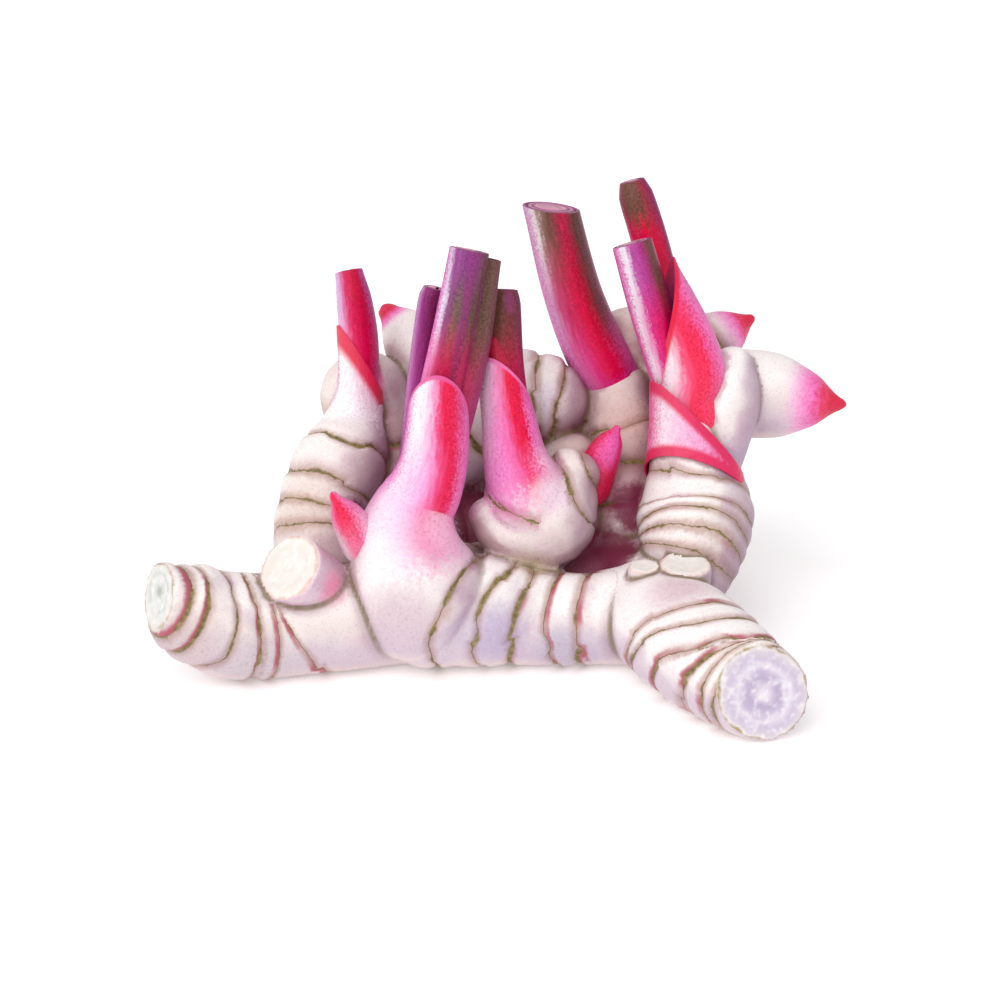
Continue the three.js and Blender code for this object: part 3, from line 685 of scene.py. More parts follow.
def skin_material():
    """Fresh galangal skin: thin and waxy over white flesh, so pale, softly lit and half glossy, with
    highlights and shade painted into its colour.
    """
    material, tree = new_material("fresh_galangal_skin")
    place = add_node(tree, "ShaderNodeTexCoord").outputs["Object"]
    rings, tones, cuts, stains, folds = (
        add_node(tree, "ShaderNodeSeparateXYZ", {}, {
            0: add_node(tree, "ShaderNodeAttribute", {"attribute_name": name}).outputs["Vector"]}).outputs
        for name in ("rings", "tones", "cuts", "stains", "folds"))
    phase, gap, strength = rings
    age, blush, closed = tones
    cut, core, lilac = cuts
    crimson, facing_up, joint = stains
    crease, hollow, facing_right = folds

    grain = {size: add_node(tree, "ShaderNodeTexNoise", {}, {
        "Vector": place, "Scale": per_mm(size), "Detail": detail, "Roughness": 0.6}).outputs[0]
        for size, detail in ((19, 2), (8, 1), (6.5, 0), (4.2, 1), (1.9, 1), (1.3, 2), (0.7, 2))}

    # How far each point is from the nearest scar line, with the line's edge a little ragged.
    ragged = add_node(tree, "ShaderNodeMath", {"operation": "MULTIPLY_ADD"}, {
        0: grain[1.9], 1: 0.7, 2: -0.35})
    turns = add_node(tree, "ShaderNodeMath", {"operation": "DIVIDE"}, {0: ragged, 1: gap})
    shifted = add_node(tree, "ShaderNodeMath", {"operation": "ADD"}, {0: phase, 1: turns})
    whole = add_node(tree, "ShaderNodeMath", {"operation": "ROUND"}, {0: shifted})
    off_scar = add_node(tree, "ShaderNodeMath", {"operation": "SUBTRACT"}, {0: shifted, 1: whole})
    beyond = add_node(tree, "ShaderNodeMath", {"operation": "MULTIPLY"}, {0: off_scar, 1: gap})
    away = add_node(tree, "ShaderNodeMath", {"operation": "ABSOLUTE"}, {0: beyond})

    # The line swells and thins along its length, and is fine where the scar is faint.
    swelling = add_node(tree, "ShaderNodeMapRange", {"interpolation_type": "SMOOTHSTEP"}, {
        "Value": grain[6.5], "From Min": 0.38, "From Max": 0.66, "To Min": 0.22, "To Max": 1.25})
    width = add_node(tree, "ShaderNodeMath", {"operation": "MULTIPLY"}, {0: swelling, 1: strength})
    width = add_node(tree, "ShaderNodeMath", {"operation": "MAXIMUM"}, {0: width, 1: 0.16})
    inner = add_node(tree, "ShaderNodeMath", {"operation": "MULTIPLY"}, {0: width, 1: 0.2})
    line = add_node(tree, "ShaderNodeMapRange", {"interpolation_type": "SMOOTHSTEP"}, {
        "Value": away, "From Min": inner, "From Max": width, "To Min": 1.0, "To Max": 0.0})
    clear = add_node(tree, "ShaderNodeMapRange", {"interpolation_type": "SMOOTHSTEP"}, {
        "Value": strength, "From Min": 0.03, "From Max": 0.22})
    on_cut = add_node(tree, "ShaderNodeMapRange", {"interpolation_type": "SMOOTHSTEP"}, {
        "Value": cut, "From Min": 0.42, "From Max": 0.58})
    skin_only = add_node(tree, "ShaderNodeMath", {"operation": "SUBTRACT"}, {0: 1.0, 1: on_cut})
    shown = add_node(tree, "ShaderNodeMath", {"operation": "MULTIPLY"}, {0: clear, 1: skin_only})
    line = add_node(tree, "ShaderNodeMath", {"operation": "MULTIPLY"}, {0: line, 1: shown})
    line_paint = add_node(tree, "ShaderNodeValToRGB", {}, {0: grain[1.3]}, [
        (0.35, "#6a5d33"), (0.55, "#877848"), (0.7, "#9c8a60")]).outputs[0]
    # Painted shade: a tan darkening on either side of each scar line, where the skin dips into the groove.
    painted_scar_shade = add_node(tree, "ShaderNodeMapRange", {"interpolation_type": "SMOOTHSTEP"}, {
        "Value": away, "From Min": 0.1, "From Max": 2.2, "To Min": 0.75, "To Max": 0.0})
    painted_scar_shade = add_node(tree, "ShaderNodeMath", {"operation": "MULTIPLY"}, {0: painted_scar_shade, 1: shown})
    beside = add_node(tree, "ShaderNodeMapRange", {"interpolation_type": "SMOOTHSTEP"}, {
        "Value": beyond, "From Min": -1.9, "From Max": -0.8})
    before = add_node(tree, "ShaderNodeMapRange", {"interpolation_type": "SMOOTHSTEP"}, {
        "Value": beyond, "From Min": 0.3, "From Max": -0.1})
    beside = add_node(tree, "ShaderNodeMath", {"operation": "MULTIPLY"}, {0: beside, 1: before})
    stained = add_node(tree, "ShaderNodeMath", {"operation": "ADD"}, {0: grain[6.5], 1: crimson})
    stained = add_node(tree, "ShaderNodeMapRange", {"interpolation_type": "SMOOTHSTEP"}, {
        "Value": stained, "From Min": 0.75, "From Max": 1.1, "To Max": 0.9})
    stained = add_node(tree, "ShaderNodeMath", {"operation": "MULTIPLY"}, {0: stained, 1: shown})
    beside = add_node(tree, "ShaderNodeMath", {"operation": "MULTIPLY"}, {0: beside, 1: stained})

    # Painted light and shade: between two scars the skin swells pale, with a painted highlight where it
    # faces up and to the left; low on a branch it turns lilac grey as painted shade, then pale again below.
    midway = add_node(tree, "ShaderNodeMath", {"operation": "ABSOLUTE"}, {0: off_scar})
    midway = add_node(tree, "ShaderNodeMapRange", {"interpolation_type": "SMOOTHSTEP"}, {
        "Value": midway, "From Min": 0.12, "From Max": 0.34})
    upper = add_node(tree, "ShaderNodeMath", {"operation": "MULTIPLY_ADD"}, {
        0: facing_right, 1: -0.5, 2: facing_up})
    upper = add_node(tree, "ShaderNodeMapRange", {"interpolation_type": "SMOOTHSTEP"}, {
        "Value": upper, "From Min": 0.0, "From Max": 0.7, "To Max": 0.95})
    painted_highlight = add_node(tree, "ShaderNodeMath", {"operation": "MULTIPLY"}, {0: midway, 1: upper})
    # Painted shade on sides that face down: lilac grey, turning tan on older branches.
    blotch = add_node(tree, "ShaderNodeMath", {"operation": "MULTIPLY_ADD"}, {
        0: grain[8], 1: 0.9, 2: facing_up})
    low = add_node(tree, "ShaderNodeMapRange", {"interpolation_type": "SMOOTHSTEP"}, {
        "Value": blotch, "From Min": 0.7, "From Max": 0.1, "To Max": 0.62})
    tanned = add_node(tree, "ShaderNodeMapRange", {}, {"Value": age, "From Min": 0.12, "From Max": 0.35})
    low_paint = add_node(tree, "ShaderNodeMix", {"data_type": "RGBA"}, {
        0: tanned, 6: linear("#cbbacf"), 7: linear("#c5a48e")}).outputs[2]
    # Painted light from the floor: faces looking straight down are painted paler again.
    foot = add_node(tree, "ShaderNodeMapRange", {"interpolation_type": "SMOOTHSTEP"}, {
        "Value": facing_up, "From Min": -0.55, "From Max": -0.85, "To Max": 0.8})
    # Painted shade: sides facing right, away from the light, are darkened lilac.
    painted_right_shade = add_node(tree, "ShaderNodeMath", {"operation": "MULTIPLY_ADD"}, {
        0: grain[8], 1: 0.8, 2: facing_right})
    painted_right_shade = add_node(tree, "ShaderNodeMapRange", {"interpolation_type": "SMOOTHSTEP"}, {
        "Value": painted_right_shade, "From Min": 0.6, "From Max": 1.3, "To Max": 0.75})

    plain = add_node(tree, "ShaderNodeValToRGB", {}, {0: grain[19]}, [
        (0.3, "#f0e9e5"), (0.5, "#ece2df"), (0.7, "#e3d6d8")]).outputs[0]
    patches = add_node(tree, "ShaderNodeMapRange", {"interpolation_type": "SMOOTHSTEP"}, {
        "Value": grain[8], "From Min": 0.52, "From Max": 0.7, "To Max": 0.55})
    speckle = add_node(tree, "ShaderNodeMapRange", {}, {
        "Value": grain[0.7], "From Min": 0.36, "From Max": 0.68, "To Max": 0.26})
    freckle = add_node(tree, "ShaderNodeMapRange", {}, {
        "Value": grain[0.7], "From Min": 0.5, "From Max": 0.32, "To Max": 0.36})
    worn = add_node(tree, "ShaderNodeMapRange", {}, {
        "Value": grain[4.2], "From Min": 0.3, "From Max": 0.7, "To Min": 0.8, "To Max": 1.1})
    worn = add_node(tree, "ShaderNodeMath", {"operation": "MULTIPLY"}, {0: worn, 1: age})
    shut = add_node(tree, "ShaderNodeMath", {"operation": "MULTIPLY_ADD"}, {
        0: grain[4.2], 1: 0.16, 2: closed})
    shaded = add_node(tree, "ShaderNodeMapRange", {"interpolation_type": "SMOOTHSTEP"}, {
        "Value": shut, "From Min": 0.2, "From Max": 0.55, "To Max": 0.6})
    # Painted shade: the skin in the deep hollows is darkened to dark crimson, more where it is closed in.
    depth = add_node(tree, "ShaderNodeMath", {"operation": "MULTIPLY_ADD"}, {0: closed, 1: 0.9, 2: 0.55})
    depth = add_node(tree, "ShaderNodeMath", {"operation": "MULTIPLY"}, {0: hollow, 1: depth})
    depth = add_node(tree, "ShaderNodeMath", {"operation": "MULTIPLY_ADD"}, {0: grain[1.3], 1: 0.6, 2: depth})
    painted_hollow_shade = add_node(tree, "ShaderNodeMapRange", {"interpolation_type": "SMOOTHSTEP"}, {
        "Value": depth, "From Min": 0.45, "From Max": 0.95, "To Max": 0.93})
    flushed = add_node(tree, "ShaderNodeMath", {"operation": "MULTIPLY_ADD"}, {
        0: grain[1.3], 1: 0.3, 2: blush})
    flush = add_node(tree, "ShaderNodeValToRGB", {}, {0: flushed}, [
        (0.15, "#f3e2e6"), (0.45, "#f2acd6"), (0.68, "#ee6cb4"), (0.85, "#e23560"),
        (1.0, "#d81f46")]).outputs[0]
    flushing = add_node(tree, "ShaderNodeMapRange", {}, {"Value": blush, "From Min": 0.02, "From Max": 0.35})
    glow = add_node(tree, "ShaderNodeAttribute", {"attribute_name": "glow"}).outputs["Color"]
    glow_share = add_node(tree, "ShaderNodeAttribute", {"attribute_name": "glow_share"}).outputs["Fac"]
    glow = add_node(tree, "ShaderNodeHueSaturation", {}, {
        "Saturation": SAP_SATURATION, "Value": SAP_VALUE, "Color": glow}).outputs[0]
    grained_glow = add_node(tree, "ShaderNodeMath", {"operation": "ADD"}, {0: grain[1.3], 1: grain[0.7]})
    grained_glow = add_node(tree, "ShaderNodeMath", {"operation": "MULTIPLY_ADD"}, {
        0: grained_glow, 1: 1.1, 2: glow_share})
    glowing = add_node(tree, "ShaderNodeMapRange", {}, {
        "Value": grained_glow, "From Min": 1.2, "From Max": 1.95})
    lit = add_node(tree, "ShaderNodeMapRange", {}, {"Value": glow_share, "From Min": 0.02, "From Max": 0.2})
    glowing = add_node(tree, "ShaderNodeMath", {"operation": "MULTIPLY"}, {0: glowing, 1: lit})
    # Tints: blush and tone, with painted shade on lower, right-hand and hidden sides.
    tinted = add_node(tree, "ShaderNodeAttribute", {"attribute_name": "tint"}).outputs["Color"]
    tint_share = add_node(tree, "ShaderNodeAttribute", {"attribute_name": "tint_share"}).outputs["Fac"]
    tinting = add_node(tree, "ShaderNodeMath", {"operation": "ADD"}, {0: grain[1.3], 1: grain[0.7]})
    tinting = add_node(tree, "ShaderNodeMath", {"operation": "MULTIPLY_ADD"}, {
        0: tinting, 1: 0.8, 2: tint_share})
    tinting = add_node(tree, "ShaderNodeMapRange", {}, {
        "Value": tinting, "From Min": 0.88, "From Max": 1.85, "To Max": 0.88})
    lit = add_node(tree, "ShaderNodeMapRange", {}, {"Value": tint_share, "From Min": 0.02, "From Max": 0.2})
    tinting = add_node(tree, "ShaderNodeMath", {"operation": "MULTIPLY"}, {0: tinting, 1: lit})
    seam = add_node(tree, "ShaderNodeMapRange", {"interpolation_type": "SMOOTHSTEP"}, {
        "Value": joint, "From Min": 1.2, "From Max": 0.2, "To Max": 0.85})
    seam = add_node(tree, "ShaderNodeMath", {"operation": "MULTIPLY"}, {0: seam, 1: crease})
    # Painted shade: a broad soft darkening either side of the crease where two branches meet.
    painted_crease_shade = add_node(tree, "ShaderNodeMapRange", {"interpolation_type": "SMOOTHSTEP"}, {
        "Value": joint, "From Min": 3.5, "From Max": 0.3, "To Max": 0.55})
    painted_crease_shade = add_node(tree, "ShaderNodeMath", {"operation": "MULTIPLY"}, {0: painted_crease_shade, 1: crease})
    # Coats over the plain skin. The highlight between scars, the lilac grey low sides, the paler faces
    # looking straight down, the darker right-hand sides, the shade in closed-in places and beside creases,
    # the shade beside the scars, part of the tints and the dark crimson hollows are painted light and  shade;
    # the rest is the skin's own colour and grain.
    coats = [
        (patches, "#e3cbd6", "MIX"),
        (painted_highlight, "#fffdfa", "MIX"),
        (low, low_paint, "MIX"),
        (foot, "#efe0dd", "MIX"),
        (painted_right_shade, "#c6aec8", "MULTIPLY"),
        (speckle, "#cfbcc0", "MULTIPLY"),
        (worn, "#cfac9d", "MULTIPLY"),
        (shaded, "#bf94a0", "MULTIPLY"),
        (painted_crease_shade, "#c3aab4", "MULTIPLY"),
        (flushing, flush, "MIX"),
        (glowing, glow, "MIX"),
        (tinting, tinted, "MIX"),
        (painted_scar_shade, "#d5bcb0", "MULTIPLY"),
        (freckle, "#c9a2b6", "MULTIPLY"),
        (seam, "#7b6b4a", "MIX"),
        (beside, "#b04862", "MIX"),
        (line, line_paint, "MIX"),
        (painted_hollow_shade, "#7d2145", "MIX"),
    ]
    colour = plain
    for share, paint, blend in coats:
        paint = linear(paint) if isinstance(paint, str) else paint
        colour = add_node(tree, "ShaderNodeMix", {"data_type": "RGBA", "blend_type": blend}, {
            0: share, 6: colour, 7: paint}).outputs[2]

    # Cut flesh: pale outside, a ring inside it and a darker middle, flecked with white fibres.
    uneven = add_node(tree, "ShaderNodeMath", {"operation": "MULTIPLY_ADD"}, {0: grain[4.2], 1: 0.2, 2: core})
    uneven = add_node(tree, "ShaderNodeMath", {"operation": "SUBTRACT"}, {0: uneven, 1: 0.1})
    white_flesh = add_node(tree, "ShaderNodeValToRGB", {}, {0: uneven}, [
        (0.0, "#a4a79e"), (0.13, "#b6b8b0"), (0.28, "#d3d4d0"), (0.48, "#dddddb"), (0.6, "#cacbc6"),
        (0.74, "#dddcd8"), (0.86, "#dfd8d2"), (0.94, "#b5a08c")]).outputs[0]
    lilac_flesh = add_node(tree, "ShaderNodeValToRGB", {}, {0: uneven}, [
        (0.0, "#e9e4ea"), (0.14, "#d5c8d8"), (0.28, "#b7a6c2"), (0.42, "#c0b0ca"), (0.56, "#dcd3df"),
        (0.7, "#c8bacf"), (0.82, "#cfc3d0"), (0.9, "#ded3d6"), (0.95, "#a3925f")]).outputs[0]
    cream_flesh = add_node(tree, "ShaderNodeValToRGB", {}, {0: uneven}, [
        (0.0, "#e2dbd5"), (0.3, "#ebe5df"), (0.6, "#e6dfd8"), (0.84, "#ece4dd"),
        (0.95, "#dcb3a6")]).outputs[0]
    cream = add_node(tree, "ShaderNodeMath", {"operation": "MULTIPLY", "use_clamp": True}, {
        0: lilac, 1: -1.0})
    flesh = add_node(tree, "ShaderNodeMix", {"data_type": "RGBA"}, {
        0: lilac, 6: white_flesh, 7: lilac_flesh}).outputs[2]
    flesh = add_node(tree, "ShaderNodeMix", {"data_type": "RGBA"}, {
        0: cream, 6: flesh, 7: cream_flesh}).outputs[2]
    flecks = add_node(tree, "ShaderNodeMapRange", {"interpolation_type": "SMOOTHSTEP"}, {
        "Value": grain[1.9], "From Min": 0.42, "From Max": 0.78, "To Max": 0.55})
    flesh = add_node(tree, "ShaderNodeMix", {"data_type": "RGBA"}, {
        0: flecks, 6: flesh, 7: linear("#f6f3f3")}).outputs[2]
    colour = add_node(tree, "ShaderNodeMix", {"data_type": "RGBA"}, {
        0: on_cut, 6: colour, 7: flesh}).outputs[2]

    # Relief finer than the mesh: the scar's crack and the skin's grain.
    relief = add_node(tree, "ShaderNodeMath", {"operation": "MULTIPLY"}, {0: line, 1: -0.5})
    relief = add_node(tree, "ShaderNodeMath", {"operation": "MULTIPLY_ADD"}, {
        0: grain[1.3], 1: 0.35, 2: relief})
    relief = add_node(tree, "ShaderNodeMath", {"operation": "MULTIPLY_ADD"}, {
        0: grain[0.7], 1: 0.18, 2: relief})
    bump = add_node(tree, "ShaderNodeBump", {}, {"Height": relief, "Strength": 0.5, "Distance": 0.5 * MM})
    rough = add_node(tree, "ShaderNodeMapRange", {}, {
        "Value": grain[4.2], "From Min": 0.3, "From Max": 0.7, "To Min": 0.42, "To Max": 0.58})
    surface = add_node(tree, "ShaderNodeBsdfPrincipled", {}, {
        "Base Color": colour, "Roughness": rough, "Normal": bump, "IOR": 1.42, "Specular IOR Level": 0.4,
        "Subsurface Weight": 0.12, "Subsurface Radius": (1.0, 0.5, 0.45), "Subsurface Scale": 1.0 * MM,
        "Coat Weight": 0.08, "Coat Roughness": 0.3})
    add_node(tree, "ShaderNodeOutputMaterial", {}, {"Surface": surface})
    return material


# ---------------------------------------------------------------- shoots

# A stem: stations [x, y, z, radius] in mm, the angle in degrees of its outer leaf's edge, and its
# top's knife cut where that slants. Angles go round a shoot from the front, 0, by the right, 90.
STEMS = {
    "left_shoot_stem": dict(
        stations=[[-38.8, 26, 57.6, 5], [-38.4, 29, 71.5, 5.1], [-39.6, 31, 83, 4.6], [-41, 33, 90.3, 3.6]],
        edge=30),
    "front_shoot_stem": dict(
        stations=[[-22.8, -11, 40, 6], [-19, -7, 58, 6], [-14.3, -3, 80, 5.4], [-9.5, 2, 104, 5]], edge=48),
    "rear_left_stem": dict(
        stations=[[-24.5, 20, 34, 4.2], [-23, 18, 55, 4], [-20.6, 19, 76, 3.8], [-19.1, 19.8, 87, 3.6],
                  [-18.7, 20, 89.4, 2.8]], edge=20),
    "middle_shoot_stem": dict(
        stations=[[1.3, 3, 48, 6.2], [-0.2, 4.5, 60.6, 5.8], [-1.0, 8, 73.4, 4.9], [-1, 12.2, 88.2, 4.1],
                  [-1, 13, 90.8, 3.3]], edge=-40),
    "centre_shoot_stem": dict(
        stations=[[29.5, 42, 55.5, 7.6], [24.2, 42, 64, 8.3], [17.3, 43, 80.5, 7.7],
                  [10.3, 45.2, 107.5, 7.1]],
        edge=42, knife=((11, 45, 104), (0.1, 0.05, 1))),
    "right_shoot_stem": dict(
        stations=[[47, 18.5, 50, 5.8], [41.5, 20, 68, 5.8], [35.6, 21.5, 86, 5.6], [31.4, 24, 100, 5.2]],
        edge=35),
    "back_right_stem": dict(
        stations=[[50, 36, 52, 5.6], [42.5, 37, 76, 5], [36, 39, 99, 4.8], [32.9, 40.6, 108.5, 4.5],
                  [31.9, 41.1, 112, 3.3]], edge=60),
}

# A leaf wrapped round a stem: stations as a stem's, with the planes that open its mouth and trim
# its foot.
LEAVES = {
    "left_shoot_sheath": dict(
        stations=[[-40.3, 22, 50.7, 8.6], [-39, 24, 55.5, 6.9], [-38.2, 25.5, 60.7, 5.9],
                  [-38.2, 28, 67.8, 5.6], [-38.7, 29.5, 74.1, 5.5], [-39.1, 31, 80.3, 5.2]],
        mouth=((-38.4, 26.8, 68.8), (0.8, 0.36, 0.47))),
    "front_shoot_inner_leaf": dict(
        stations=[[-19.5, -7, 46, 5.8], [-14.5, -3.5, 62, 5.8], [-9.4, 1.5, 81, 5.2], [-5.6, 5.5, 101, 4]]),
    "front_shoot_sheath": dict(
        stations=[[-24.6, -12.4, 36, 10.6], [-24.2, -12, 38.5, 10.5], [-22.9, -11, 42, 10],
                  [-20.6, -10, 46, 9.3], [-18.6, -8.5, 51.8, 8.5], [-17.7, -7.2, 57.9, 8.1],
                  [-17.2, -6, 65.8, 7.5], [-16.5, -5, 78, 6.8]],
        mouth=((-17.3, -8.2, 68.8), (0.08, 0.88, 0.46))),
    "middle_shoot_inner_leaf": dict(
        stations=[[0.4, 3.8, 52, 5.8], [-1, 5.6, 66, 5.2], [-2.8, 8, 77, 3.9], [-4, 10, 85.5, 1.2]]),
    "middle_shoot_sheath": dict(
        stations=[[4.9, 1.8, 40, 10.2], [3.6, 2.2, 43.8, 9.5], [1.7, 3, 50, 8.1], [0.2, 4, 59.4, 6.9],
                  [-0.9, 5.2, 66, 6.3], [-1.7, 7, 76, 5.8]],
        mouth=((-0.3, 3.8, 70.5), (0.44, 0.71, 0.55))),
    "right_shoot_lower_sheath": dict(
        stations=[[47.2, 9.6, 37, 13.6], [47.1, 10.8, 41.2, 12.8], [46.4, 12.4, 46.5, 11],
                  [45.7, 14, 51, 9.6], [45.2, 15.4, 55.5, 8.7], [44.7, 17, 63.2, 8.1],
                  [44.4, 18, 68.2, 7.9]],
        mouth=((47.9, 11.8, 55.5), (0.7, 0.4, 0.6)), foot=((44.7, 4.5, 47.8), (-0.27, -0.66, -0.7))),
    "right_shoot_upper_sheath": dict(
        stations=[[47.8, 17, 49.3, 9.2], [47, 16.6, 56.3, 8.3], [46, 17.4, 60.7, 8],
                  [46.9, 18.5, 67, 8.7], [45.6, 20, 74.2, 7.8], [41.7, 21.5, 84.4, 6.5],
                  [38.6, 23, 91.9, 5.3], [36.8, 24, 98, 4.6]],
        mouth=((40.9, 15.9, 82.7), (-0.97, -0.15, 0.19))),
}

# A bud: as a stem, but closed and pointed at its tip.
BUDS = {
    "left_bud": dict(stations=[[-36, -14, 33, 5.5], [-40, -17.5, 42, 4], [-42.7, -19, 47.4, 1.2]], edge=60),
    "centre_bud": dict(stations=[[21.5, 16, 37.5, 5.4], [24.2, 15, 45.5, 4.6], [26.5, 15.5, 50.2, 3.2],
                                 [27.9, 16, 53, 1]], edge=-30),
}

# The colour of a leaf's free margin where it isn't the usual crimson, and how many mm wide a margin is.
EDGES = {"front_shoot_sheath": ("#e0629c", 0.8), "middle_shoot_sheath": ("#ea7ab4", 0.9),
         "left_shoot_sheath": ("#e01c48", 4.2), "right_shoot_lower_sheath": ("#e0305c", 3.4)}
USUAL_EDGE = ("#e22f4c", 1.6)

# How far below a leaf's foot, in mm, it tints the skin, and how far out as a share of its radius.
GLOW = {"front_shoot_sheath": (14, 1.9), "middle_shoot_sheath": (11, 1.35), "left_shoot_sheath": (8, 1.25)}

SHOOT_SIDES = 48
LEAF_THICKNESS = 0.5

# How far in mm the surface steps down at an outer leaf's edge, how far in degrees that edge turns
# round the stem over its length, and how far in mm the stem's three flutes rise and fall.
LEAF_STEP = 0.28
EDGE_TWIST = 12
FLUTE_DEPTH = 0.1


def frame_along(tangents):
    """Front and right directions square to a shoot at each point of its path."""
    front = np.array([0, -1.0, 0]) - tangents * (tangents @ np.array([0, -1.0, 0]))[:, None]
    front /= np.linalg.norm(front, axis=1)[:, None]
    return front, np.cross(tangents, front)


def read_shoot(stations, vertices):
    """Per vertex: sine and cosine of the angle round the shoot, share of its length, and how far it
    lies off the middle line, as a share of the radius."""
    points, radii, along, tangents = resample(smooth_path(stations), PATH_STEP)
    nearest = np.array([((points - v)**2).sum(1).argmin() for v in vertices])
    front, right = frame_along(tangents)
    offset = vertices - points[nearest]
    ahead = (offset * tangents[nearest]).sum(1)
    x, y = (offset * right[nearest]).sum(1), (offset * front[nearest]).sum(1)
    distance = np.maximum(np.hypot(x, y), 1e-6)
    share = (along[nearest] + ahead) / along[-1]
    return x / distance, y / distance, share, distance / radii[nearest]


def wrap_outer_leaf(bm, stations, edge):
    """Thickens a stem slowly round to the free edge of its outer leaf, where the surface steps down."""
    vertices = np.array([v.co for v in bm.verts])
    sine, cosine, share, core = read_shoot(stations, vertices)
    turn = (np.degrees(np.arctan2(sine, cosine)) - edge - EDGE_TWIST * share) % 360 / 360
    rise = LEAF_STEP * (turn - 0.5) * smoothstep(0.5, 1, core)
    rise += FLUTE_DEPTH * np.cos(3 * np.arctan2(sine, cosine) + 2 * share)
    points, _, _, tangents = resample(smooth_path(stations), PATH_STEP)
    front, right = frame_along(tangents)
    for vertex, s, c, lift in zip(bm.verts, sine, cosine, rise):
        i = ((points - np.array(vertex.co))**2).sum(1).argmin()
        vertex.co += Vector(right[i] * s + front[i] * c) * lift


# Rolled leaves on a cut top: how far in each edge lies and how far it stands above the last, in mm.
ROLLED_LAYERS = [(0.55, 0), (0.1, -0.5), (0.35, 0), (0.1, 0.6), (0.5, 0), (0.1, -0.5), (0.3, 0), (0.1, 0.5),
                 (0.6, 0.1)]


def roll_top(bm, top):
    """Cuts concentric rolled leaves into a stem's flat top face."""
    size = math.sqrt(top.calc_area() / math.pi) / 5.0
    face = top
    for inward, up in ROLLED_LAYERS:
        bmesh.ops.inset_region(bm, faces=[face], thickness=inward * size, depth=up, use_even_offset=False)


def top_face(bm, towards):
    """The widest face that looks along a direction."""
    return max((f for f in bm.faces if f.normal.dot(towards) > 0.8), key=lambda f: f.calc_area())


def make_stem(name, stations, edge, knife=None):
    """A cut stem with its outer leaf's edge down one side and rolled leaves showing in its top."""
    bm = bmesh.new()
    add_tube(bm, tube_rings(smooth_path(stations), True, False, spacing=1.8), SHOOT_SIDES)
    bmesh.ops.recalc_face_normals(bm, faces=bm.faces)
    if knife:
        at, facing = Vector(knife[0]), Vector(knife[1]).normalized()
        geometry = bm.verts[:] + bm.edges[:] + bm.faces[:]
        cut = bmesh.ops.bisect_plane(bm, geom=geometry, plane_co=at, plane_no=facing, clear_outer=True)
        rim = [g for g in cut["geom_cut"] if isinstance(g, bmesh.types.BMVert)]
        bmesh.ops.remove_doubles(bm, verts=rim, dist=0.45)
        bmesh.ops.contextual_create(bm, geom=[e for e in bm.edges if e.is_boundary])
        bmesh.ops.recalc_face_normals(bm, faces=bm.faces)
    else:
        facing = (Vector(stations[-1][:3]) - Vector(stations[-2][:3])).normalized()
    wrap_outer_leaf(bm, stations, edge)
    bm.normal_update()
    top = top_face(bm, facing)
    rim = list(top.edges)
    roll_top(bm, top)
    bmesh.ops.bevel(bm, geom=rim, offset=0.18, offset_type="OFFSET", affect="EDGES", segments=2, profile=0.5,
                    material=-1)
    return finished(bm, name + "_skin")


def make_leaf(name, stations, mouth=None, foot=None):
    """A thin wrapped leaf, open at its mouth, with a soft rounded edge."""
    bm = bmesh.new()
    rings = tube_rings(smooth_path(stations), False, False, spacing=1.2)
    add_tube(bm, rings, SHOOT_SIDES)
    for end in (rings[0], rings[-1]):
        middle = end.translation
        lid = min((f for f in bm.faces if len(f.verts) > 4),
                  key=lambda f: (f.calc_center_median() - middle).length)
        bmesh.ops.delete(bm, geom=[lid], context="FACES_ONLY")
    bmesh.ops.recalc_face_normals(bm, faces=bm.faces)
    for at, facing in filter(None, (mouth, foot)):
        geometry = bm.verts[:] + bm.edges[:] + bm.faces[:]
        bmesh.ops.bisect_plane(bm, geom=geometry, plane_co=at, plane_no=facing, clear_outer=True)
    piece = finished(bm, name + "_skin")
    wall = piece.modifiers.new("wall", "SOLIDIFY")
    wall.thickness = LEAF_THICKNESS * MM
    wall.offset = -1
    lip = piece.modifiers.new("lip", "BEVEL")
    lip.width = 0.18 * MM
    lip.segments = 2
    lip.limit_method = "ANGLE"
    lip.angle_limit = math.radians(50)
    apply_modifiers(piece)
    return piece


def make_bud(name, stations, edge):
    """A closed pointed bud, its scales wrapped one over the next."""
    bm = bmesh.new()
    add_tube(bm, tube_rings(smooth_path(stations), True, True, spacing=0.8), SHOOT_SIDES)
    wrap_outer_leaf(bm, stations, edge)
    return finished(bm, name + "_skin")
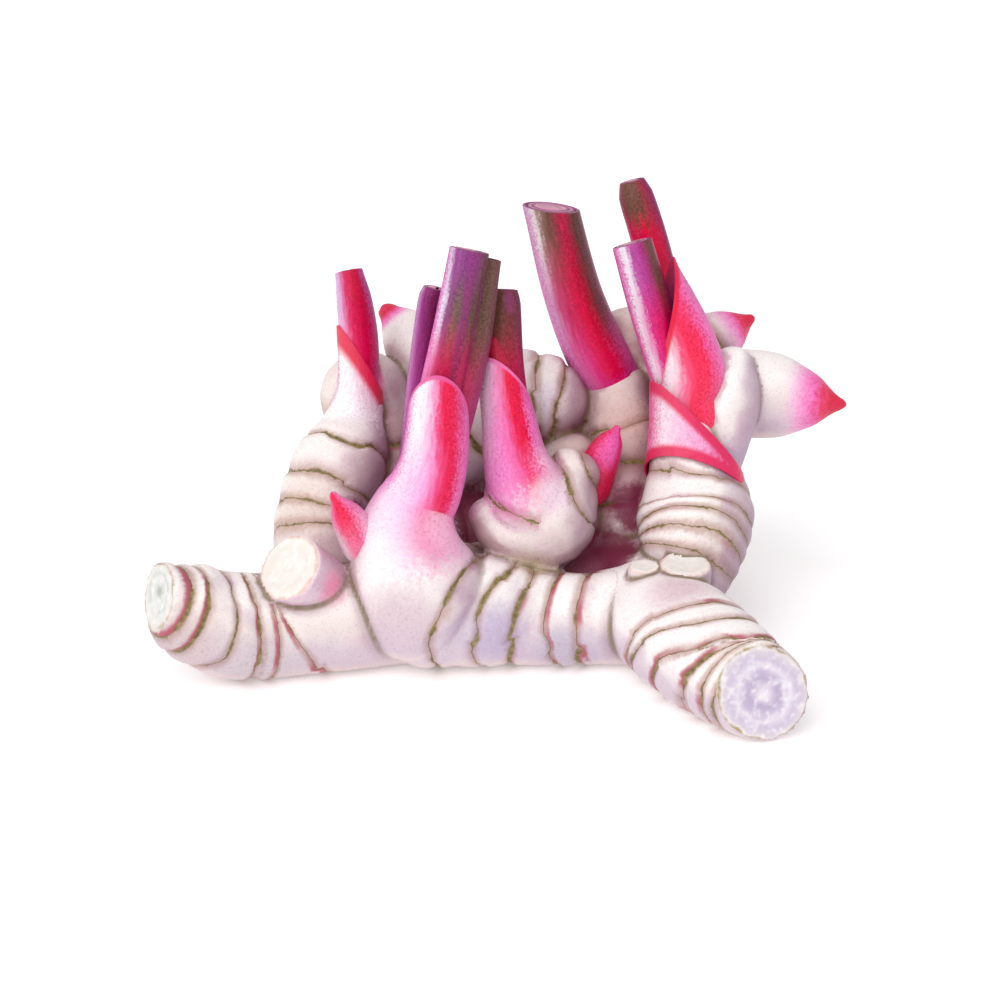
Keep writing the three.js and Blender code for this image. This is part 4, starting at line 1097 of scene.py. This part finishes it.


# ---------------------------------------------------------------- shoot materials

# Colours round each shoot from behind on the left, by the front, to behind on the right, at
# rising shares of its length: (share, ((angle, colour), ...)). The near-white bands a little left of
# the front are painted highlights, and the dark olive-brown bands on the right-hand side are the
# shoots' own brown streaks deepened as painted shade.
COLOURS = {
    "left_shoot_stem": (
        (0.3, ((-180, "#c23a6a"), (-95, "#c96aa6"), (-65, "#e9b8da"), (-35, "#f0a0c8"), (-10, "#e2406a"),
               (30, "#dd3055"), (60, "#d9457a"), (95, "#c566a2"))),
        (0.9, ((-180, "#a8386a"), (-95, "#b65a9c"), (-65, "#d9b6dc"), (-40, "#dca0cc"), (-18, "#cf4068"),
               (10, "#cc2c48"), (42, "#c93050"), (62, "#b8508c"), (95, "#a05090")))),
    "front_shoot_stem": (
        (0.54, ((-180, "#b43a6a"), (-95, "#d05aa8"), (-68, "#ee84c0"), (-45, "#e0709c"), (-25, "#c23a5c"),
               (0, "#c02f50"), (22, "#8a2c50"), (32, "#b8345a"), (60, "#a43058"), (95, "#a8407a"))),
        (0.78, ((-180, "#7d3a64"), (-95, "#c64fa6"), (-72, "#e06ab8"), (-58, "#dcb4dc"), (-46, "#e8dcee"),
                (-34, "#9a5c8c"), (-22, "#7c4468"), (-10, "#6e5a48"), (2, "#70525a"), (16, "#8a3f6e"),
                (30, "#7a3c5c"), (42, "#5e4a3a"), (55, "#66443e"), (72, "#7c3c60"), (95, "#954a8c"))),
        (0.96, ((-180, "#7d3a70"), (-95, "#b04a90"), (-72, "#c964aa"), (-52, "#dcc8e0"), (-40, "#9a5590"),
                (-10, "#84407c"), (20, "#8a3f78"), (45, "#70405a"), (60, "#5f4440"), (95, "#8f4580")))),
    "rear_left_stem": (
        (0.5, ((-180, "#7a2458"), (-95, "#c068a8"), (-60, "#cc90c0"), (-40, "#b0589c"), (-20, "#9c3880"),
               (0, "#8c2c68"), (45, "#762250"), (95, "#803070"))),
        (1.0, ((-180, "#702450"), (-95, "#983c84"), (-60, "#c08cb8"), (-40, "#983f84"), (-20, "#802a66"),
               (0, "#782858"), (45, "#641f46"), (95, "#742a60")))),
    "middle_shoot_stem": (
        (0.45, ((-180, "#a82c4c"), (-60, "#b12c4a"), (0, "#c22d4a"), (50, "#b52c50"), (95, "#8f3a68"))),
        (0.85, ((-180, "#5c3a38"), (-60, "#5f4a36"), (-10, "#6b4038"), (25, "#7a3a3e"), (60, "#6d3a4a"),
                (95, "#8a3c7c")))),
    "centre_shoot_stem": (
        (0.02, ((-180, "#c83e86"), (-95, "#c04c9c"), (-60, "#dc60b2"), (-30, "#e050a4"), (0, "#d2408a"),
                (30, "#d23c80"), (60, "#cc4c9c"), (95, "#c060aa"))),
        (0.14, ((-180, "#d04a80"), (-95, "#d860b0"), (-60, "#f27cc4"), (-35, "#f484c0"), (-8, "#ec4c8c"),
                (8, "#ea3a62"), (28, "#e83856"), (48, "#dc4e88"), (70, "#d860a8"), (95, "#cc6cb4"))),
        (0.45, ((-180, "#8a3050"), (-95, "#d060b0"), (-70, "#ee80c8"), (-45, "#e8a8d8"), (-28, "#d8608c"),
                (-8, "#d04064"), (12, "#e23452"), (30, "#b83a4a"), (44, "#7a4044"), (62, "#74404c"),
                (76, "#9a4a70"), (95, "#c060a0"))),
        (0.9, ((-180, "#6e3a44"), (-95, "#c0529c"), (-72, "#cc70b0"), (-52, "#d8b0cc"), (-38, "#eee6e4"),
               (-26, "#8f7066"), (-10, "#6a4c40"), (4, "#8a3a46"), (20, "#bc3450"), (34, "#903a48"),
               (48, "#5e443a"), (64, "#643f40"), (78, "#80404e"), (95, "#9c4a94")))),
    "right_shoot_stem": (
        (0.56, ((-180, "#b0386a"), (-95, "#d8479a"), (-60, "#ee7abc"), (-38, "#f8e4f0"), (-26, "#f0b0d2"),
                (-10, "#d84084"), (14, "#d83460"), (60, "#b82c58"), (95, "#b84a8c"))),
        (0.86, ((-180, "#7a3050"), (-95, "#c04a98"), (-65, "#e074ba"), (-45, "#ea9ed0"), (-33, "#fdf8fc"),
               (-22, "#e6cfe4"), (-10, "#b4589c"), (12, "#b04890"), (30, "#9a3c68"), (42, "#6a4640"),
               (60, "#63443c"), (75, "#a03c60"), (95, "#a83a80")))),
    "back_right_stem": (
        (0.76, ((-180, "#a83a5a"), (-95, "#dd4a90"), (-60, "#e8406c"), (0, "#e4344e"), (40, "#c8324e"),
                (62, "#8a2f58"), (95, "#983a80"))),
        (0.9, ((-180, "#5c3a36"), (-95, "#b04480"), (-60, "#8a4450"), (-30, "#6b4a3c"), (10, "#6e443c"),
               (35, "#98384a"), (60, "#84305c"), (95, "#90357c")))),
    "left_shoot_sheath": (
        (0.1, ((-180, "#f3e2e8"), (-95, "#f1e6ea"), (-40, "#fffdfc"), (30, "#f3e4ec"), (95, "#dcc4d8"))),
        (0.55, ((-180, "#e05a88"), (-95, "#c060a0"), (-76, "#dd80bc"), (-62, "#fdf8fb"), (-25, "#fdf4f8"),
                (5, "#f3b8d6"), (35, "#ee8ab8"), (60, "#ee6a98"), (95, "#cf4f88")))),
    "front_shoot_inner_leaf": (
        (0.4, ((-180, "#a83050"), (0, "#b52f50"), (95, "#8a3a70"))),
        (0.75, ((-180, "#5a3f38"), (-60, "#6a4448"), (0, "#5d4436"), (40, "#6a4a42"), (95, "#7a4058")))),
    "front_shoot_sheath": (
        (-0.12, ((-180, "#ecc8d8"), (-95, "#e4d0dc"), (-60, "#f6e8f0"), (-35, "#fdf8fb"),
                 (-10, "#f6d8ea"), (12, "#f3b4d4"), (28, "#f09cc4"), (45, "#f2b0d2"), (70, "#efc4dc"),
                 (95, "#e0c0d4"))),
        (0.26, ((-180, "#d86aa0"), (-95, "#cf6ab0"), (-75, "#ee86c8"), (-55, "#f9d8ee"), (-25, "#f6bce4"),
                (-5, "#f29ad0"), (10, "#ee5a8e"), (25, "#e52c50"), (38, "#e83a68"), (55, "#f07ab8"),
                (95, "#d070b8"))),
        (0.72, ((-180, "#d24a80"), (-95, "#c45a9c"), (-78, "#e268b4"), (-62, "#f0b4de"), (-48, "#fdf6fb"),
                (-28, "#fbeef7"), (-12, "#f7a8d0"), (2, "#ea5080"), (12, "#e52f4d"), (34, "#e6345a"),
                (50, "#e05c9c"), (75, "#e27cb8"), (95, "#c966a8")))),
    "middle_shoot_inner_leaf": (
        (0.4, ((-180, "#b02c48"), (0, "#c82a46"), (95, "#b03050"))),
        (0.9, ((-180, "#a02c44"), (0, "#c02c46"), (95, "#a8324e")))),
    "middle_shoot_sheath": (
        (-0.2, ((-180, "#ecc0d4"), (-95, "#e4b0cc"), (-60, "#eeb4dc"), (-30, "#f0b4dc"), (0, "#efbcdc"),
                (20, "#eebcd4"), (40, "#f0d8e4"), (95, "#dccad6"))),
        (0.2, ((-180, "#e080b0"), (-95, "#ea78bc"), (-60, "#f696d2"), (-20, "#f38cca"), (5, "#f070ac"),
               (20, "#ea4a78"), (38, "#ee7aa8"), (60, "#f4b4d4"), (95, "#d8a0c8"))),
        (0.45, ((-180, "#dd609a"), (-95, "#ee86c8"), (-60, "#f9bfe2"), (-25, "#f792d0"), (0, "#f068a4"),
                (15, "#e8304e"), (36, "#e62c50"), (52, "#f07ac0"), (95, "#dd86bd"))),
        (0.85, ((-180, "#d04a80"), (-95, "#ea80c0"), (-70, "#f9b4dc"), (-50, "#fde4f4"), (-25, "#f9acd8"),
                (-5, "#f27aa8"), (10, "#ea3450"), (40, "#e62c50"), (56, "#e65aa0"), (95, "#cf62a6")))),
    "right_shoot_lower_sheath": (
        (0.2, ((-180, "#ef80ac"), (-95, "#f04a80"), (-70, "#f57ab0"), (-35, "#fde2ef"), (-10, "#f7b4d6"),
               (20, "#f3a3d0"), (60, "#f06fae"), (95, "#e04a88"))),
        (0.8, ((-180, "#e85a90"), (-95, "#f04a80"), (-70, "#f57ab0"), (-35, "#fdeaf4"), (-10, "#f9c3de"),
               (20, "#f3a3d0"), (60, "#f06fae"), (95, "#e04a88")))),
    "right_shoot_upper_sheath": (
        (0.15, ((-180, "#f5b8d0"), (-95, "#ef5a8a"), (-60, "#f9c6de"), (-45, "#fdf0f8"), (-20, "#f58aaf"),
                (5, "#f2405c"), (50, "#f24a6c"), (75, "#f383b5"), (95, "#f3b4d4"))),
        (0.5, ((-180, "#e85a90"), (-95, "#e8506c"), (-60, "#f8d8ea"), (-35, "#fdf0f8"), (-12, "#f25a80"),
               (2, "#f03c5a"), (26, "#f23e5c"), (42, "#f0609c"), (60, "#f07ab8"), (95, "#e876ba"))),
        (0.85, ((-180, "#d84a80"), (-95, "#e0407a"), (-30, "#f0506c"), (6, "#ee3e60"), (28, "#ee5a90"),
                (60, "#ea78b4"), (95, "#c95aa0")))),
    "left_bud": (
        (0.2, ((-180, "#f3c6dc"), (-95, "#f7c8e0"), (-50, "#fbe4f0"), (-20, "#f27ca0"), (15, "#f06a90"),
               (40, "#f6b9d7"), (70, "#fbd9ea"), (95, "#eebcd9"))),
        (0.8, ((-180, "#e85a90"), (-95, "#f28abc"), (-50, "#f06a98"), (-20, "#ec3a58"), (15, "#ee3a58"),
               (40, "#f0608c"), (70, "#f28abc"), (95, "#ee7ab0")))),
    "centre_bud": (
        (0.3, ((-180, "#d83a68"), (-95, "#ee3a60"), (-50, "#ef3a58"), (0, "#ee4a70"), (40, "#ea3658"),
               (95, "#e23a68"))),
        (0.7, ((-180, "#e0487c"), (-95, "#ee3a60"), (-50, "#ef4a78"), (-20, "#f064a8"), (30, "#ee6ab4"),
               (55, "#ec3c78"), (80, "#f06aae"), (95, "#e24a88")))),
}


def shoot_material(node):
    """Young galangal leaf: smooth waxy skin over red and purple sap, streaked along its fibres, with
    highlight and shade bands painted round it.
    """
    material, tree = new_material("waxy_leaf_" + node)
    sine, cosine, share = add_node(tree, "ShaderNodeSeparateXYZ", {}, {
        0: add_node(tree, "ShaderNodeAttribute", {"attribute_name": "shoot"}).outputs["Vector"]}).outputs
    core, margin, inside = add_node(tree, "ShaderNodeSeparateXYZ", {}, {
        0: add_node(tree, "ShaderNodeAttribute", {"attribute_name": "leaf"}).outputs["Vector"]}).outputs

    # Fibres run the length of a shoot, so the noise is fine round it and long up it.
    around = add_node(tree, "ShaderNodeCombineXYZ", {}, {"X": sine, "Y": cosine, "Z": share})
    fibres = {fineness: add_node(tree, "ShaderNodeTexNoise", {}, {
        "Vector": around, "Scale": fineness, "Detail": 3.0}).outputs[0] for fineness in (2.5, 9)}
    place = add_node(tree, "ShaderNodeTexCoord").outputs["Object"]
    grain = add_node(tree, "ShaderNodeTexNoise", {}, {
        "Vector": place, "Scale": per_mm(0.6), "Detail": 2.0}).outputs[0]

    angle = add_node(tree, "ShaderNodeMath", {"operation": "ARCTAN2"}, {0: sine, 1: cosine})
    turn = add_node(tree, "ShaderNodeMapRange", {}, {
        "Value": angle, "From Min": -math.pi, "From Max": math.pi})
    turn = add_node(tree, "ShaderNodeMath", {"operation": "MULTIPLY_ADD"}, {0: fibres[9], 1: 0.05, 2: turn})
    turn = add_node(tree, "ShaderNodeMath", {"operation": "MULTIPLY_ADD"}, {0: grain, 1: 0.09, 2: turn})
    turn = add_node(tree, "ShaderNodeMath", {"operation": "SUBTRACT"}, {0: turn, 1: 0.07})
    grown = add_node(tree, "ShaderNodeMapRange", {"interpolation_type": "SMOOTHSTEP"}, {
        "Value": share, "From Min": 0.12, "From Max": 0.45})
    height = add_node(tree, "ShaderNodeMath", {"operation": "MULTIPLY_ADD"}, {0: fibres[9], 1: 0.2, 2: -0.1})
    height = add_node(tree, "ShaderNodeMath", {"operation": "MULTIPLY_ADD"}, {0: height, 1: grown, 2: share})
    colour, reached = None, 0
    for level, stops in COLOURS[node]:
        places = [((a + 180) / 360, hex_colour) for a, hex_colour in stops + ((180, stops[0][1]),)]
        ring = add_node(tree, "ShaderNodeValToRGB", {}, {0: turn}, places).outputs[0]
        if colour:
            risen = add_node(tree, "ShaderNodeMapRange", {"interpolation_type": "SMOOTHSTEP"}, {
                "Value": height, "From Min": reached, "From Max": level})
            ring = add_node(tree, "ShaderNodeMix", {"data_type": "RGBA"}, {
                0: risen, 6: colour, 7: ring}).outputs[2]
        colour, reached = ring, level

    streak = add_node(tree, "ShaderNodeMapRange", {}, {
        "Value": fibres[9], "From Min": 0.35, "From Max": 0.7, "To Max": 0.35})
    streak = add_node(tree, "ShaderNodeMath", {"operation": "MULTIPLY"}, {0: streak, 1: grown})
    mottle = add_node(tree, "ShaderNodeMapRange", {}, {
        "Value": grain, "From Min": 0.42, "From Max": 0.7, "To Max": 0.5})
    freckle = add_node(tree, "ShaderNodeMapRange", {}, {
        "Value": grain, "From Min": 0.5, "From Max": 0.3, "To Max": 0.3})
    edge_colour, edge_width = EDGES.get(node, USUAL_EDGE)
    edge = add_node(tree, "ShaderNodeMapRange", {"interpolation_type": "SMOOTHSTEP"}, {
        "Value": margin, "From Min": 0.5 * edge_width, "From Max": edge_width, "To Min": 0.92, "To Max": 0.0})
    lining = add_node(tree, "ShaderNodeMath", {"operation": "MULTIPLY"}, {0: inside, 1: 0.7})
    for amount, paint, blend in ((streak, "#d9c6d0", "MULTIPLY"), (mottle, "#ffffff", "SOFT_LIGHT"),
                                 (freckle, "#c890a8", "MULTIPLY"),
                                 (edge, edge_colour, "MIX"), (lining, "#c4507c", "MIX")):
        colour = add_node(tree, "ShaderNodeMix", {"data_type": "RGBA", "blend_type": blend}, {
            0: amount, 6: colour, 7: linear(paint)}).outputs[2]

    saturation, value = (STEM_SATURATION, STEM_VALUE) if node in STEMS else (SAP_SATURATION, SAP_VALUE)
    colour = add_node(tree, "ShaderNodeHueSaturation", {}, {
        "Saturation": saturation, "Value": value, "Color": colour}).outputs[0]

    # Across a cut top the rolled leaves show as rings, purple outside and rosy within.
    rolled = add_node(tree, "ShaderNodeValToRGB", {}, {0: core}, [
        (0.0, "#f0c3cf"), (0.25, "#d98ca8"), (0.4, "#a0507a"), (0.5, "#dba0b6"), (0.62, "#8f3f6c"),
        (0.72, "#cf8fb0"), (0.84, "#7c3060"), (0.93, "#9a3f86")]).outputs[0]
    on_top = add_node(tree, "ShaderNodeMapRange", {}, {
        "Value": core, "From Min": 0.97, "From Max": 0.92})
    is_top = add_node(tree, "ShaderNodeMapRange", {}, {"Value": share, "From Min": 0.85, "From Max": 0.88})
    on_top = add_node(tree, "ShaderNodeMath", {"operation": "MULTIPLY"}, {0: on_top, 1: is_top})
    if node not in STEMS:
        on_top = 0.0
    colour = add_node(tree, "ShaderNodeMix", {"data_type": "RGBA"}, {
        0: on_top, 6: colour, 7: rolled}).outputs[2]

    relief = add_node(tree, "ShaderNodeMath", {"operation": "MULTIPLY_ADD"}, {
        0: grain, 1: 0.25, 2: fibres[9]})
    bump = add_node(tree, "ShaderNodeBump", {}, {"Height": relief, "Strength": 0.35, "Distance": 0.4 * MM})
    surface = add_node(tree, "ShaderNodeBsdfPrincipled", {}, {
        "Base Color": colour, "Roughness": 0.4, "Normal": bump, "IOR": 1.42, "Specular IOR Level": 0.25,
        "Subsurface Weight": 0.08, "Subsurface Radius": (1.0, 0.35, 0.4), "Subsurface Scale": 0.8 * MM,
        "Coat Weight": 0.06, "Coat Roughness": 0.2})
    add_node(tree, "ShaderNodeOutputMaterial", {}, {"Surface": surface})
    return material


# ---------------------------------------------------------------- assembly

# The furthest in mm that anything counts as lying from a free edge.
NO_EDGE = 9.0


def install(piece, node, material):
    piece.data.materials.clear()
    piece.data.materials.append(material)
    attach(piece, BODY)
    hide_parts(node)


def read_leaf(piece, parts):
    """Stores where each vertex lies on its shoot, how near a leaf's free edge it is, and whether it
    is on the lining."""
    mesh = piece.data
    vertices = vertex_array(mesh)
    sine, cosine, share, core = read_shoot(parts["stations"], vertices)
    margin = np.full(len(vertices), NO_EDGE)
    lining = np.zeros(len(vertices))
    for knife in filter(None, (parts.get("mouth"), parts.get("foot"))):
        at, facing = (np.array(part, float) for part in knife)
        margin = np.minimum(margin, (at - vertices) @ (facing / np.linalg.norm(facing)))
    if "mouth" in parts:
        lining = (core < 1 - 0.6 * LEAF_THICKNESS / 8).astype(float)
    write_attribute(mesh, "shoot", np.stack([sine, cosine, share], axis=1))
    write_attribute(mesh, "leaf", np.stack([core, margin, lining], axis=1))
    mesh.shade_smooth()


shoots = []
for kind, make in ((STEMS, make_stem), (LEAVES, make_leaf), (BUDS, make_bud)):
    for node, parts in kind.items():
        piece = make(node, **parts)
        install(piece, node, shoot_material(node))
        read_leaf(piece, parts)
        shoots.append(piece)

skin = weld_branches()
shape_skin(skin, shoots)
install(skin, "rhizome", skin_material())

# ---------------------------------------------------------------- floor and light


FLOOR_SIZE = 4000


def make_floor():
    bm = bmesh.new()
    bmesh.ops.create_grid(bm, x_segments=1, y_segments=1, size=FLOOR_SIZE)
    floor = finished(bm, "floor")
    material, tree = new_material("white_paper")
    surface = add_node(tree, "ShaderNodeBsdfPrincipled", {}, {
        "Base Color": linear("#fbfbfb"), "Roughness": 0.9, "Specular IOR Level": 0.1,
        "Emission Color": linear("#ffffff"), "Emission Strength": 0.2})
    add_node(tree, "ShaderNodeOutputMaterial", {}, {"Surface": surface})
    floor.data.materials.append(material)


def make_sun(place, softness, strength):
    data = bpy.data.lights.new("window", "SUN")
    data.angle = softness
    data.energy = strength
    light = bpy.data.objects.new("window", data)
    bpy.context.scene.collection.objects.link(light)
    light.rotation_euler = Vector(place).to_track_quat("Z", "Y").to_euler()


def make_world():
    world = bpy.data.worlds.new("soft_room")
    world.use_nodes = True
    tree = world.node_tree
    tree.nodes.clear()
    sky = add_node(tree, "ShaderNodeBackground", {}, {"Color": (1, 1, 1, 1), "Strength": 0.7})
    add_node(tree, "ShaderNodeOutputWorld", {}, {"Surface": sky})
    bpy.context.scene.world = world


make_floor()
make_world()
make_sun((-0.35, -0.75, 0.8), 0.9, 1.5)
bpy.context.scene.view_settings.view_transform = "Standard"
